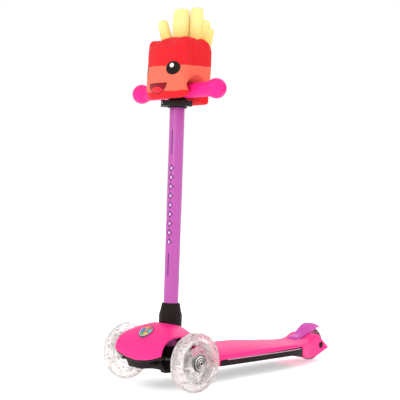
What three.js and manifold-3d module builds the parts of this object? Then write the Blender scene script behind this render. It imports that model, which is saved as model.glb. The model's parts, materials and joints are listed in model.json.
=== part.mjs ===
// A child's three-wheeled kick scooter that steers by leaning its T-bar.
// Millimetres, +Z up, +X to the rider's left, -Y forwards. Pieces are laid out from the point on
// the ground under the front axle, and the whole is then moved so that the origin is at the
// middle of its footprint.
import * as THREE from 'three';
import { mergeVertices } from 'three/addons/utils/BufferGeometryUtils.js';
import Module from 'manifold-3d';

const wasm = await Module();
wasm.setup();

// ---------------------------------------------------------------- driving dimensions
const GAP = 0.3; // clearance between touching pieces
const WALL = 3; // plastic wall thickness

const FRONT_WHEEL_RADIUS = 60;
const FRONT_TRACK = 210; // between the middles of the front wheels
const REAR_WHEEL_RADIUS = 38;
const WHEEL_WIDTH = 24;
const REAR_AXLE_Y = 465;
const BEARING_RADIUS = 11;
const BEARING_WIDTH = 7;
const AXLE_RADIUS = 3.9;

const NOSE_Y = -66; // foremost point of the front cover
const NECK_Y = 84; // joint between the front cover and the deck cover
const DECK_BASE_FRONT_Y = 118;
const DECK_BASE_REAR_Y = 384;
const DECK_HALF_WIDTH = 58;
const TAIL_TIP_Y = 489;
const BRAKE_TIP_Y = 505;
const WHEEL_SLOT_HALF_WIDTH = 17.5;
const WHEEL_SLOT_FRONT_Y = 416;

const LEAN_AXIS_Y = 26.6;
const LEAN_AXIS_Z = 92;
const STEM_RAKE = Math.atan(0.0454); // the stem leans back by 2.6 degrees
const STEM_RADIUS = 15.5;
const STEM_BORE = 14.1;
const INNER_STEM_RADIUS = 12.5;
const STEM_BOTTOM = -29.7; // heights along the stem are counted from the lean axis
const STEM_TOP = 497.5;
const COLLAR_BOTTOM = 28;
const COLLAR_TOP = 74;
const CLAMP_HEIGHT = 488;
const CLAMP_TURN = Math.PI / 4; // the clamp's ears point forwards and to the rider's right
const BAR_HEIGHT = 514.1;
const BAR_RADIUS = 11.1;
const BAR_HALF_LENGTH = 112;

const KINGPIN_X = 70;
const KINGPIN_RADIUS = 4;
const STEERING_ARM = 25;
const TIE_ROD_Z = 51.5;
const BASE_FLOOR_Z = 42;

const BRAKE_PIN_Y = 410;
const BRAKE_PIN_Z = 53;
const BRAKE_PIN_RADIUS = 2;

const PLUSH_HALF_WIDTH = 56;

// ---------------------------------------------------------------- finishes
const finish = (colour, roughness, metalness = 0) =>
  new THREE.MeshStandardMaterial({ color: colour, roughness, metalness });
const finishes = {
  pinkPlastic: () => finish(0xff3c98, 0.35),
  blackPlastic: () => finish(0x2d2623, 0.5),
  greyTrim: () => finish(0xc9a9b8, 0.5),
  purplePaint: () => finish(0xb958aa, 0.35),
  purplePlastic: () => finish(0xd255b4, 0.4),
  pinkRubber: () => finish(0xff1493, 0.55),
  clearPlastic: () => finish(0xebd7d7, 0.1),
  steel: () => finish(0xb4b2b0, 0.3, 0.9),
  springSteel: () => finish(0x8d8d90, 0.35, 0.9),
  aluminium: () => finish(0xc4c6ca, 0.35, 0.9),
  redPlush: () => finish(0xf0343a, 0.95),
  yellowPlush: () => finish(0xfae68c, 0.95),
};

// ---------------------------------------------------------------- solids
// A closed solid from any geometry whose shared vertices can be merged.
function solid(geometry) {
  const bare = geometry.clone();
  bare.deleteAttribute('normal');
  bare.deleteAttribute('uv');
  const merged = mergeVertices(bare, 1e-4);
  const corners = [];
  for (let i = 0; i < merged.index.count; i += 3) {
    const [a, b, c] = [0, 1, 2].map((k) => merged.index.getX(i + k));
    if (a !== b && b !== c && c !== a) corners.push(a, b, c);
  }
  const made = (triVerts) =>
    new wasm.Manifold(
      new wasm.Mesh({
        numProp: 3,
        vertProperties: new Float32Array(merged.attributes.position.array),
        triVerts: new Uint32Array(triVerts),
      }),
    );
  const first = made(corners);
  if (first.volume() > 0) return first;
  const turned = [];
  for (let i = 0; i < corners.length; i += 3) {
    turned.push(corners[i], corners[i + 2], corners[i + 1]);
  }
  return made(turned);
}

const join = (...solids) => solids.reduce((all, one) => all.add(one));
const cut = (body, ...tools) => tools.reduce((left, tool) => left.subtract(tool), body);

function meshOf(name, body, material) {
  const raw = body.getMesh();
  const geometry = new THREE.BufferGeometry();
  geometry.setAttribute('position', new THREE.BufferAttribute(raw.vertProperties, 3));
  geometry.setIndex(new THREE.BufferAttribute(raw.triVerts, 1));
  geometry.computeVertexNormals();
  const mesh = new THREE.Mesh(geometry, material);
  mesh.name = name;
  return mesh;
}

// A box between two limits on each axis.
function block([x0, x1], [y0, y1], [z0, z1]) {
  const box = new THREE.BoxGeometry(x1 - x0, y1 - y0, z1 - z0);
  return solid(box.translate((x0 + x1) / 2, (y0 + y1) / 2, (z0 + z1) / 2));
}

const UP = new THREE.Vector3(0, 1, 0);

// Turns geometry made about +Y so that it starts at a point and runs along a direction.
function aim(geometry, start, direction) {
  const along = new THREE.Vector3(...direction).normalize();
  geometry.applyQuaternion(new THREE.Quaternion().setFromUnitVectors(UP, along));
  return geometry.translate(...start);
}

// A turned piece: its profile is [radius, height] pairs along a direction from a start.
function turned(profile, start, direction, sides = 24) {
  const points = profile.map(([radius, height]) => new THREE.Vector2(radius, height));
  return solid(aim(new THREE.LatheGeometry(points, sides), start, direction));
}

function rod(radius, length, start, direction, sides = 14) {
  return turned([[0, 0], [radius, 0], [radius, length], [0, length]], start, direction, sides);
}

function ring(outer, inner, length, start, direction, sides = 24) {
  const profile = [[inner, 0], [outer, 0], [outer, length], [inner, length], [inner, 0]];
  return turned(profile, start, direction, sides);
}

// An outline in the YZ plane carried from x0 to x1.
function sidePlate(outline, x0, x1) {
  const shape = new THREE.Shape(outline.map(([y, z]) => new THREE.Vector2(y, z)));
  const plate = new THREE.ExtrudeGeometry(shape, { depth: x1 - x0, bevelEnabled: false });
  plate.applyMatrix4(new THREE.Matrix4().makeBasis(
    new THREE.Vector3(0, 1, 0), new THREE.Vector3(0, 0, 1), new THREE.Vector3(1, 0, 0)));
  return solid(plate.translate(x0, 0, 0));
}

// A closed skin through rings of points, each ring with the same count, capped at both ends.
function loft(rings) {
  const count = rings[0].length;
  const places = [];
  const corners = [];
  rings.forEach((one) => one.forEach((point) => places.push(...point)));
  const middleOf = (one) => [0, 1, 2].map((k) => one.reduce((sum, p) => sum + p[k], 0) / count);
  const firstMiddle = rings.length * count;
  places.push(...middleOf(rings[0]), ...middleOf(rings[rings.length - 1]));
  for (let r = 0; r < rings.length - 1; r += 1) {
    for (let k = 0; k < count; k += 1) {
      const a = r * count + k;
      const b = r * count + ((k + 1) % count);
      corners.push(a, b, b + count, a, b + count, a + count);
    }
  }
  const last = (rings.length - 1) * count;
  for (let k = 0; k < count; k += 1) {
    const next = (k + 1) % count;
    corners.push(firstMiddle, next, k);
    corners.push(firstMiddle + 1, last + k, last + next);
  }
  const skin = new THREE.BufferGeometry();
  skin.setAttribute('position', new THREE.Float32BufferAttribute(places, 3));
  skin.setIndex(corners);
  return solid(skin);
}

// A smooth function through [position, value] knots, level beyond its ends.
function through(knots) {
  return (at) => {
    const last = knots.length - 1;
    if (at <= knots[0][0]) return knots[0][1];
    if (at >= knots[last][0]) return knots[last][1];
    const i = knots.findIndex(([place]) => place > at) - 1;
    const slope = (k) => {
      const before = knots[Math.max(k - 1, 0)];
      const after = knots[Math.min(k + 1, last)];
      return (after[1] - before[1]) / (after[0] - before[0]);
    };
    const [x0, v0] = knots[i];
    const [x1, v1] = knots[i + 1];
    const width = x1 - x0;
    const t = (at - x0) / width;
    return (
      v0 * (1 + 2 * t) * (1 - t) ** 2 + slope(i) * width * t * (1 - t) ** 2 +
      v1 * t * t * (3 - 2 * t) - slope(i + 1) * width * t * t * (1 - t)
    );
  };
}

const steps = (from, to, count) =>
  Array.from({ length: count + 1 }, (_, i) => from + ((to - from) * i) / count);

// ---------------------------------------------------------------- deck and tail
const deckHalfWidth = through([
  [15, 50], [84, 54], [118, 58], [345, 58], [385, 52], [425, 41], [489, 36]]);
const deckCrease = through([
  [15, 56], [113, 54.2], [345, 52.6], [385, 49], [404, 48], [420, 55], [436, 64],
  [450, 62.6], [462, 55], [475, 43.5], [489, 31.5]]);
const deckMiddle = through([
  [15, 130], [30, 127], [50, 118.5], [67, 107], [84, 93], [100, 80], [120, 73.5], [210, 70.5],
  [260, 66], [310, 59.5], [350, 55], [385, 55], [400, 59], [418, 65], [436, 68],
  [450, 63.8], [462, 56.2], [475, 44.5], [489, 32.5]]);
const deckBottom = through([
  [15, 42], [80, 42], [84, 32.6], [120, 32], [360, 28.4], [385, 27], [398, 17.5], [412, 13.6],
  [435, 12.5], [453, 15.3], [474, 22], [489, 28.5]]);
// Height of the line where the cover's side meets the black base.
const splitHeight = (y) => 45.4 - (y - DECK_BASE_FRONT_Y) * 0.0135;

const CROWN_POWER = 2.4;

// One closed section of the deck across the scooter; inset moves its sides and top inwards.
function deckSection(y, inset, bottom) {
  const half = deckHalfWidth(y) - inset;
  const crease = deckCrease(y) - inset;
  const crown = deckMiddle(y) - deckCrease(y);
  const soft = 3;
  const across = [-1, -0.8, -0.5, 0, 0.5, 0.8, 1];
  const top = across.map((u) => {
    const x = u * (half - soft * 0.4);
    return [x, y, crease + crown * (1 - Math.abs(u) ** CROWN_POWER)];
  });
  return [
    [half, y, crease - soft],
    ...top.reverse(),
    [-half, y, crease - soft],
    [-half, y, bottom],
    [half, y, bottom],
  ];
}

function deckBlank(from, to, count) {
  return loft(steps(from, to, count).map((y) => deckSection(y, 0, deckBottom(y))));
}

function deckHollow(from, to, count) {
  return loft(steps(from, to, count).map((y) => deckSection(y, WALL, 36)));
}

// Everything below the split line, between the ends of the black base.
function underSplit(from, to, drop) {
  const low = -20;
  const outline = [
    [from, low], [to, low], [to, splitHeight(to) - drop], [from, splitHeight(from) - drop]];
  return sidePlate(outline, -80, 80);
}

function deckCover() {
  const wheelSlot = block(
    [-WHEEL_SLOT_HALF_WIDTH, WHEEL_SLOT_HALF_WIDTH], [WHEEL_SLOT_FRONT_Y, 520], [0, 120]);
  const brakeRecess = block(
    [-WHEEL_SLOT_HALF_WIDTH, WHEEL_SLOT_HALF_WIDTH], [401, 520], [47, 120]);
  const axleBore = rod(4.3, 120, [-60, REAR_AXLE_Y, REAR_WHEEL_RADIUS], [1, 0, 0]);
  const recess = (side) => rod(
    7, 20, [side * 30, REAR_AXLE_Y, REAR_WHEEL_RADIUS], [side, 0, 0], 20);
  const screwAccess = [-24, 24].map((x) => rod(5, 12, [x, 96, 28], [0, 0, 1], 12));
  const shell = cut(
    deckBlank(NECK_Y + GAP, TAIL_TIP_Y, 24),
    deckHollow(NECK_Y - 10, 380, 12),
    underSplit(DECK_BASE_FRONT_Y, DECK_BASE_REAR_Y, 0),
    wheelSlot, brakeRecess, axleBore, recess(1), recess(-1), ...screwAccess,
  );
  const lugTop = steps(0, Math.PI, 6).map((angle) => [
    BRAKE_PIN_Y + 3.5 * Math.cos(angle), BRAKE_PIN_Z + 3.5 * Math.sin(angle)]);
  const brakeLug = sidePlate([...lugTop, [406.5, 46.5], [413.5, 46.5]], -8, 8);
  const pinBore = rod(
    BRAKE_PIN_RADIUS + GAP, 40, [-20, BRAKE_PIN_Y, BRAKE_PIN_Z], [1, 0, 0], 12);
  return cut(join(shell, brakeLug), pinBore);
}

function deckBase() {
  const front = DECK_BASE_FRONT_Y + GAP;
  const rear = DECK_BASE_REAR_Y - GAP;
  const side = loft(steps(front, rear, 16).map((y) => {
    const half = deckHalfWidth(y);
    const top = splitHeight(y) - 2.4;
    const bottom = deckBottom(y) - Math.max(0, y - 366) * 0.42;
    return [[half, y, bottom], [half, y, top], [-half, y, top], [-half, y, bottom]];
  }));
  const hollow = loft(steps(front + 5, rear - 5, 14).map((y) => {
    const half = deckHalfWidth(y) - 5;
    const bottom = deckBottom(y) + WALL;
    return [[half, y, bottom], [half, y, 60], [-half, y, 60], [-half, y, bottom]];
  }));
  const ribs = [150, 200, 250, 300, 350].map((y) =>
    block([-(DECK_HALF_WIDTH - 4), DECK_HALF_WIDTH - 4], [y - 1.5, y + 1.5],
      [deckBottom(y) + 1, splitHeight(y) - 3.5]));
  const spine = block([-1.5, 1.5], [front + 2, rear - 2], [33, 40]);
  const tongue = block([-36, 36], [NECK_Y + 2, front + 6], [37.4, 41.4]);
  const screwHoles = [-24, 24].map((x) => rod(2.6, 20, [x, 96, 30], [0, 0, 1], 16));
  return cut(join(cut(side, hollow), ...ribs, spine, tongue), ...screwHoles);
}

function deckTrim(side) {
  const from = 140;
  const to = 376;
  const outside = (y) => side * deckHalfWidth(y);
  return loft(steps(from, to, 12).map((y) => {
    const top = splitHeight(y) - GAP;
    const bottom = splitHeight(y) - 2.1;
    const inside = outside(y) - side * 3.6;
    return [
      [outside(y), y, bottom], [outside(y), y, top], [inside, y, top], [inside, y, bottom]];
  }));
}

// ---------------------------------------------------------------- front cover
// One fore-and-aft section of the wings: a rounded nose, a crown and a rear slope.
function wingSection(x, inset, drop) {
  const out = (x / 72) ** 2;
  const rim = 60 + 14.5 * out;
  const front = NOSE_Y + 5 * out + inset;
  const crownY = 8 - 29 * out;
  const crownZ = 130 - 21 * out - inset;
  const rear = 50 - inset;
  const rearRim = 76;
  const arc = (turn, power) => Math.abs(turn) ** (2 / power);
  const angles = steps(0, Math.PI / 2, 6);
  const nose = angles.map((angle) => [
    x, crownY - (crownY - front) * arc(Math.cos(angle), 2),
    rim + (crownZ - rim) * arc(Math.sin(angle), 2)]);
  const back = angles.slice(1).map((angle) => [
    x, crownY + (rear - crownY) * arc(Math.sin(angle), 2.8),
    rearRim + (crownZ - rearRim) * arc(Math.cos(angle), 2.8)]);
  return [...nose, ...back, [x, rear, rearRim - drop], [x, front, rim - drop - 0.01]];
}

function wings(inset, halfWidth, drop) {
  return loft(steps(-halfWidth, halfWidth, 10).map((x) => wingSection(x, inset, drop)));
}

function frontHousing() {
  const neck = loft(steps(15, NECK_Y - GAP / 2, 5).map((y) => deckSection(y, 0, 46)));
  const neckHollow = loft(steps(0, NECK_Y + 10, 6).map((y) => deckSection(y, WALL, 20)));
  const opening = new THREE.CylinderGeometry(1, 1, 80, 28).rotateX(Math.PI / 2);
  opening.scale(29.5, 23.5, 1).translate(0, LEAN_AXIS_Y + 1.8, 140);
  const wheelWindow = (side) => block(
    side > 0 ? [45, 90] : [-90, -45], [-34, 40], [20, 86]);
  return cut(
    join(wings(0, 72, 0), neck),
    wings(WALL, 80, 40), neckHollow, solid(opening), wheelWindow(1), wheelWindow(-1));
}

// ---------------------------------------------------------------- front base and steering
function frontBase() {
  const floorTop = BASE_FLOOR_Z + 3.5;
  const plate = block([-57, 57], [-54, 62], [BASE_FLOOR_Z, floorTop]);
  const chin = block([-56, 56], [-58, -53], [BASE_FLOOR_Z, 56]);
  const tongue = block([-36, 36], [60, 106], [BASE_FLOOR_Z, floorTop]);
  const sides = [-1, 1].flatMap((side) => {
    const span = (a, b) => (side > 0 ? [a, b] : [-b, -a]);
    return [
      block(span(54, 80), [-11, 11], [36, 43]),
      block(span(54, 80), [-11, 11], [80, 86]),
      block(span(54, 58.6), [-12, 12], [36, 86]),
      block(span(40.3, 44), [14, 38], [floorTop - 1, 78]),
    ];
  });
  const towers = [[-4, 2.3], [51, 57.3]].map((span) =>
    block([-9, 9], span, [floorTop - 1, LEAN_AXIS_Z + 8]));
  const frontRib = sidePlate([[-4, 44], [-4, 84], [-26, 44]], -1.5, 1.5);
  const rearRib = sidePlate([[57, 44], [74, 44], [57, 84]], -1.5, 1.5);
  const tieRodWindow = block([-60, 60], [17, 34], [47.5, 56]);
  const bore = rod(4.3, 90, [0, -20, LEAN_AXIS_Z], [0, 1, 0]);
  const kingpinBores = [-1, 1].map((side) =>
    rod(KINGPIN_RADIUS + GAP, 80, [side * KINGPIN_X, 0, 20], [0, 0, 1]));
  const screwHoles = [-24, 24].map((x) => rod(2.6, 20, [x, 96, 35], [0, 0, 1], 16));
  return cut(
    join(plate, chin, tongue, ...sides, ...towers, frontRib, rearRib),
    tieRodWindow, bore, ...kingpinBores, ...screwHoles);
}

function knuckle() {
  const body = block([-8, 12], [-10, 10], [-13, 16.5]);
  const boss = rod(9, 12, [10, 0, 0], [1, 0, 0]);
  const arm = block([-6, 6], [9, STEERING_ARM + 6], [-4, 1.5]);
  const peg = rod(2.4, 10, [0, STEERING_ARM, -12.4], [0, 0, 1], 16);
  const kingpinBore = rod(KINGPIN_RADIUS + GAP, 60, [0, 0, -30], [0, 0, 1]);
  const axleBore = rod(AXLE_RADIUS + GAP, 30, [5.6, 0, 0], [1, 0, 0]);
  return cut(join(body, boss, arm, peg), kingpinBore, axleBore);
}

function kingpin() {
  const head = 6.5;
  return turned(
    [[0, 0], [KINGPIN_RADIUS, 0], [KINGPIN_RADIUS, 49.4], [head, 49.4], [head, 52.4], [0, 52.4]],
    [0, 0, 37], [0, 0, 1], 12);
}

function tieRod() {
  const half = KINGPIN_X + 7;
  const bar = block([-half, half], [-5.5, 5.5], [-2, 2]);
  const pegSlot = (x) => join(
    rod(2.9, 10, [x, -0.9, -5], [0, 0, 1], 16),
    rod(2.9, 10, [x, 0.6, -5], [0, 0, 1], 16));
  return cut(
    bar, pegSlot(KINGPIN_X), pegSlot(-KINGPIN_X), block([-4.8, 4.8], [-3.6, 3.6], [-5, 5]));
}

function springAlongX(coilRadius, wireRadius, turns, length) {
  class Coil extends THREE.Curve {
    getPoint(t) {
      const angle = 2 * Math.PI * turns * t;
      return new THREE.Vector3(
        length * (t - 0.5), coilRadius * Math.cos(angle), coilRadius * Math.sin(angle));
    }
  }
  const corners = steps(0, 2 * Math.PI, 5).slice(0, -1).map((angle) =>
    new THREE.Vector2(wireRadius * Math.cos(angle), wireRadius * Math.sin(angle)));
  return solid(new THREE.ExtrudeGeometry(new THREE.Shape(corners), {
    extrudePath: new Coil(), steps: Math.round(8 * turns), bevelEnabled: false }));
}

function steeringBlock() {
  const cup = rod(20, 22, [0, 0, -34], [0, 0, 1], 22);
  const ears = [[-22, -16.3], [16.3, 22]].map((span) => block([-8, 8], span, [-30, 8]));
  const tongue = block([-3.6, 3.6], [-3, 3], [-45.6, -33]);
  const socket = rod(STEM_RADIUS + 2 * GAP, 60, [0, 0, -30], [0, 0, 1], 28);
  const leanAxis = [0, Math.cos(STEM_RAKE), Math.sin(STEM_RAKE)];
  const start = leanAxis.map((part) => -40 * part);
  const bore = rod(4.4, 80, start, leanAxis);
  return cut(join(cup, ...ears, tongue), socket, bore);
}

function pivotPin(direction) {
  const head = 6.5;
  return turned(
    [[0, 0], [head, 0], [head, 2.5], [4, 2.5], [4, 16.4], [0, 16.4]],
    [0, 0, 0], [0, direction, 0], 12);
}

// ---------------------------------------------------------------- stem, clamp and bar
// The clamping slit faces the same way as the clamp's ears.
function outerStem() {
  const tube = ring(
    STEM_RADIUS, STEM_BORE, STEM_TOP - STEM_BOTTOM, [0, 0, STEM_BOTTOM], [0, 0, 1], 28);
  const slit = block([-0.9, 0.9], [-20, -5], [STEM_TOP - 36, STEM_TOP + 5]);
  return cut(tube, slit);
}

function stemCollar() {
  const bore = STEM_RADIUS + GAP;
  return turned([
    [bore, COLLAR_BOTTOM], [22, COLLAR_BOTTOM], [22.2, 50], [21, 56], [17.6, 71.5],
    [16.8, COLLAR_TOP], [bore, COLLAR_TOP], [bore, COLLAR_BOTTOM],
  ], [0, 0, 0], [0, 0, 1], 20);
}

function stemBush() {
  const lip = STEM_TOP + GAP;
  const bore = INNER_STEM_RADIUS + GAP;
  return turned([
    [bore, STEM_TOP - 30], [STEM_BORE - GAP, STEM_TOP - 30], [STEM_BORE - GAP, lip],
    [STEM_RADIUS - 0.2, lip], [STEM_RADIUS - 0.2, lip + 2], [bore, lip + 2], [bore, STEM_TOP - 30],
  ], [0, 0, 0], [0, 0, 1], 22);
}

const innerStem = () => ring(
  INNER_STEM_RADIUS, 11, BAR_HEIGHT - BAR_RADIUS - 290 - GAP, [0, 0, 290], [0, 0, 1], 22);

function stemJoint() {
  const sleeve = rod(13.1, 48, [-24, 0, BAR_HEIGHT], [1, 0, 0], 20);
  const boss = rod(15.3, BAR_HEIGHT - STEM_TOP - 3, [0, 0, STEM_TOP + 3], [0, 0, 1], 20);
  const barBore = rod(BAR_RADIUS + GAP, 60, [-30, 0, BAR_HEIGHT], [1, 0, 0], 20);
  const stemBore = rod(INNER_STEM_RADIUS + GAP, 22, [0, 0, STEM_TOP], [0, 0, 1], 20);
  return cut(join(sleeve, boss), barBore, stemBore);
}

const handlebarTube = () => ring(
  BAR_RADIUS, 9.6, 2 * BAR_HALF_LENGTH, [-BAR_HALF_LENGTH, 0, 0], [1, 0, 0], 18);

function grip() {
  const shaft = 15.2;
  const ball = 20.5;
  const middle = 114.5;
  const start = Math.asin(shaft / ball);
  const end = 0.44;
  const arc = steps(Math.PI - start, end, 7).map((angle) => [
    ball * Math.sin(angle), middle + ball * Math.cos(angle)]);
  const bore = BAR_RADIUS + GAP;
  const outerEnd = middle + ball * Math.cos(end);
  return turned([
    [0, outerEnd - 1.4], [2, outerEnd - 1.4], [2.6, outerEnd], ...arc.reverse(),
    [shaft, 27], [shaft - 1.5, 25], [bore, 25], [bore, BAR_HALF_LENGTH + GAP],
    [0, BAR_HALF_LENGTH + GAP],
  ], [0, 0, 0], [1, 0, 0], 16);
}

// In the clamp's own frame the ears point along -Y, and the cam lever lies on the +X side.
const CAM_X = 12.5;
const CAM_Y = -28;

function clampCollar() {
  const hoop = ring(20, STEM_RADIUS + 2 * GAP, 17, [0, 0, -8.5], [0, 0, 1], 28);
  const ears = block([-6.5, 6.5], [-34, -17], [-7, 7]);
  const split = block([-1.2, 1.2], [-40, -5], [-10, 10]);
  const bore = rod(2.9, 30, [-15, CAM_Y, 0], [1, 0, 0], 16);
  const tubeRoom = rod(STEM_RADIUS + 2 * GAP, 30, [0, 0, -15], [0, 0, 1], 28);
  return cut(join(hoop, cut(ears, tubeRoom)), split, bore);
}

function clampBolt() {
  const shank = rod(2.4, 22, [-13, CAM_Y, 0], [1, 0, 0], 16);
  const eye = rod(4.2, 4.2, [CAM_X, CAM_Y, -2.1], [0, 0, 1]);
  const camBore = rod(2.5, 10, [CAM_X, CAM_Y, -5], [0, 0, 1], 16);
  return cut(join(shank, eye), camBore);
}

function clampNut() {
  const nut = rod(5, 4.5, [-11.5, CAM_Y, 0], [1, 0, 0], 6);
  return cut(nut, rod(2.9, 10, [-14, CAM_Y, 0], [1, 0, 0], 16));
}

const camPin = () => rod(2.2, 14, [CAM_X, CAM_Y, -7], [0, 0, 1], 16);

// Seen from above: the cam head round its pin, and an arm that follows the hoop.
function clampLever() {
  const head = 5.4;
  const outline = new THREE.Shape();
  outline.moveTo(CAM_X - head, CAM_Y + 5);
  outline.lineTo(CAM_X - head, CAM_Y);
  outline.absarc(CAM_X, CAM_Y, head, Math.PI, Math.PI * 1.83);
  outline.quadraticCurveTo(25.5, -14, 25.6, 3);
  outline.quadraticCurveTo(25.5, 18, 17, 29);
  outline.quadraticCurveTo(14, 33, 11, 30);
  outline.quadraticCurveTo(9.5, 28, 12.5, 24.5);
  outline.quadraticCurveTo(20.8, 14, 20.9, 1);
  outline.quadraticCurveTo(20.5, -12, 14.5, -20.5);
  const slab = new THREE.ExtrudeGeometry(
    outline, { depth: 12, bevelEnabled: false, curveSegments: 4 }).translate(0, 0, -6);
  const forkGap = block([0, 17.4], [-40, -21], [-2.7, 2.7]);
  const camBore = rod(2.5, 20, [CAM_X, CAM_Y, -10], [0, 0, 1], 16);
  return cut(solid(slab), forkGap, camBore);
}

// ---------------------------------------------------------------- wheels
// Each is made about its own axle along X, with +X outwards.
function tyre(radius, bore) {
  const half = WHEEL_WIDTH / 2;
  const crown = steps(-1, 1, 4).map((u) => [
    radius - 0.15 * half * (1 - Math.sqrt(Math.max(0, 1 - (0.86 * u) ** 2))) * 2.6, u * (half - 3.2)]);
  return turned([
    [bore, -half + 0.8], [radius - 7, -half], [radius - 3.4, -half + 1], ...crown,
    [radius - 3.4, half - 1], [radius - 7, half], [bore, half - 0.8], [bore, -half + 0.8],
  ], [0, 0, 0], [1, 0, 0], 26);
}

function wheelCore(outer, hub, rim, windows) {
  const half = WHEEL_WIDTH / 2 - 0.5;
  const body = ring(outer, BEARING_RADIUS + GAP, 2 * half, [-half, 0, 0], [1, 0, 0], 26);
  const spokeHalfAngle = 0.24;
  const openings = steps(0, windows - 1, windows - 1).map((k) => {
    const pitch = (2 * Math.PI) / windows;
    const from = k * pitch + spokeHalfAngle;
    const to = (k + 1) * pitch - spokeHalfAngle;
    const arc = (radius, list) => list.map((angle) => [
      radius * Math.sin(angle), radius * Math.cos(angle)]);
    return sidePlate([
      ...arc(rim, steps(from, to, 4)), ...arc(hub, steps(to - 0.12, from + 0.12, 3))], -20, 20);
  });
  return cut(body, ...openings);
}

const bearing = (start) => ring(
  BEARING_RADIUS, AXLE_RADIUS + 2 * GAP, BEARING_WIDTH, [start, 0, 0], [1, 0, 0], 12);

const lightRing = () => ring(
  BEARING_RADIUS, AXLE_RADIUS + 1, 2 * (WHEEL_WIDTH / 2 - 1 - BEARING_WIDTH) - 2 * GAP,
  [-(WHEEL_WIDTH / 2 - 1 - BEARING_WIDTH) + GAP, 0, 0], [1, 0, 0], 12);

function hubCap() {
  const face = WHEEL_WIDTH / 2 + GAP;
  return turned([
    [0, face + 4.6], [7, face + 4.6], [7, face], [18.5, face], [18.5, face + 1.6],
    [14.6, face + 2.2], [14.6, face + 3.6], [10, face + 4], [10, face + 5.2], [5.5, face + 5.6],
    [4, face + 6.6], [0, face + 6.8],
  ], [0, 0, 0], [1, 0, 0], 18);
}

function frontAxleBolt() {
  const inner = -(FRONT_TRACK / 2 - KINGPIN_X) + 6;
  const face = WHEEL_WIDTH / 2 - 0.2;
  return turned([
    [0, inner], [AXLE_RADIUS, inner], [AXLE_RADIUS, face], [6.4, face], [6.4, face + 4.2],
    [0, face + 4.2],
  ], [0, 0, 0], [1, 0, 0], 12);
}

function rearAxle() {
  const headFace = 34.4;
  return turned([
    [0, -headFace - 3.4], [6.2, -headFace - 3.4], [6.2, -headFace], [AXLE_RADIUS, -headFace],
    [AXLE_RADIUS, headFace], [6.2, headFace], [6.2, headFace + 3.4], [0, headFace + 3.4],
  ], [0, 0, 0], [1, 0, 0], 14);
}

// ---------------------------------------------------------------- brake
// Laid out from the hinge pin.
function brakeFender() {
  const at = (points) => points.map(([y, z]) => [y - BRAKE_PIN_Y, z - BRAKE_PIN_Z]);
  const smooth = (points, count) => new THREE.SplineCurve(
    points.map(([y, z]) => new THREE.Vector2(y, z))).getPoints(count).map((p) => [p.x, p.y]);
  const top = smooth(at([
    [403, 49.5], [403.4, 56], [407, 59.6], [412, 60.9], [419, 62.2], [427, 65.6], [435, 71.2],
    [445, 78.8], [458, 85], [474, 84.9], [489, 79], [505, 70.8]]), 20);
  const lower = at([
    [496, 72.5], [484, 75.5], [472, 73], [460, 68.5], [450, 64], [440, 57.5], [430, 52.5],
    [420, 49.6], [412, 48.2]]);
  const inner = smooth(at([
    [486, 78], [474, 82.3], [459, 82.5], [446.4, 76.7], [436.6, 69.2], [428.2, 63.2],
    [419.8, 59.8], [412, 58.5], [408, 57.5], [405.6, 54.8], [405.2, 49]]), 16);
  const below = at([[405.2, 20], [486, 20]]);
  const skin = sidePlate([...top, ...lower], -16, 16);
  const hollow = sidePlate([...inner, ...below], -13.4, 13.4);
  const pinBore = rod(BRAKE_PIN_RADIUS + GAP, 60, [-30, 0, 0], [1, 0, 0], 12);
  return cut(skin, hollow, pinBore);
}

const brakePin = () => turned([
  [0, -17.3], [3.2, -17.3], [3.2, -16.3], [BRAKE_PIN_RADIUS, -16.3], [BRAKE_PIN_RADIUS, 16.3],
  [3.2, 16.3], [3.2, 17.3], [0, 17.3],
], [0, 0, 0], [1, 0, 0], 12);

// ---------------------------------------------------------------- plush head
// Heights here are along the stem from the bar.
function plushBody() {
  return sidePlate([
    [-46, -17.6], [-38, -18.2], [-36.5, -13.6], [-17.6, -13.6], [-17.6, 8], [-12, 17], [12, 17],
    [17.6, 8], [17.6, -13.6], [24, -13.6], [26, -27], [36, -30], [44, -24], [47, 10], [47, 52],
    [43, 84], [36, 92], [20, 96], [-14, 99], [-34, 98], [-44, 92], [-50, 74], [-53, 30], [-52, 0],
  ], -PLUSH_HALF_WIDTH, PLUSH_HALF_WIDTH);
}

// Each fry: place across and fore-and-aft, width, height and sideways lean.
const FRIES = [
  { x: -31, y: 4, width: 24, top: 143, lean: -0.24 },
  { x: -1, y: 6, width: 33, top: 167, lean: 0.02 },
  { x: 27, y: -6, width: 20, top: 136, lean: 0.05 },
  { x: 27, y: 24, width: 29, top: 169, lean: 0.03 },
  { x: 44, y: 16, width: 20, top: 140, lean: 0.1 },
  { x: 36, y: 36, width: 22, top: 126, lean: 0.3 },
  { x: -14, y: 28, width: 24, top: 146, lean: -0.06 },
];

function plushFries() {
  const base = block([-44, 48], [-14, 42], [99.6, 108]);
  const fries = FRIES.map(({ x, y, width, top, lean }) => {
    const height = top - 102;
    const fry = new THREE.CylinderGeometry(width * 0.5, width * 0.58, height, 8, 3);
    fry.rotateX(Math.PI / 2).scale(1, 0.7, 1).translate(0, 0, height / 2);
    fry.rotateY(lean).translate(x, y, 102);
    return solid(fry);
  });
  return join(base, ...fries);
}

// ---------------------------------------------------------------- assembly
const scooter = new THREE.Group();
scooter.position.y = -(NOSE_Y + BRAKE_TIP_Y) / 2;

function place(parent, mesh, x = 0, y = 0, z = 0) {
  mesh.position.set(x, y, z);
  parent.add(mesh);
  return mesh;
}

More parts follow.
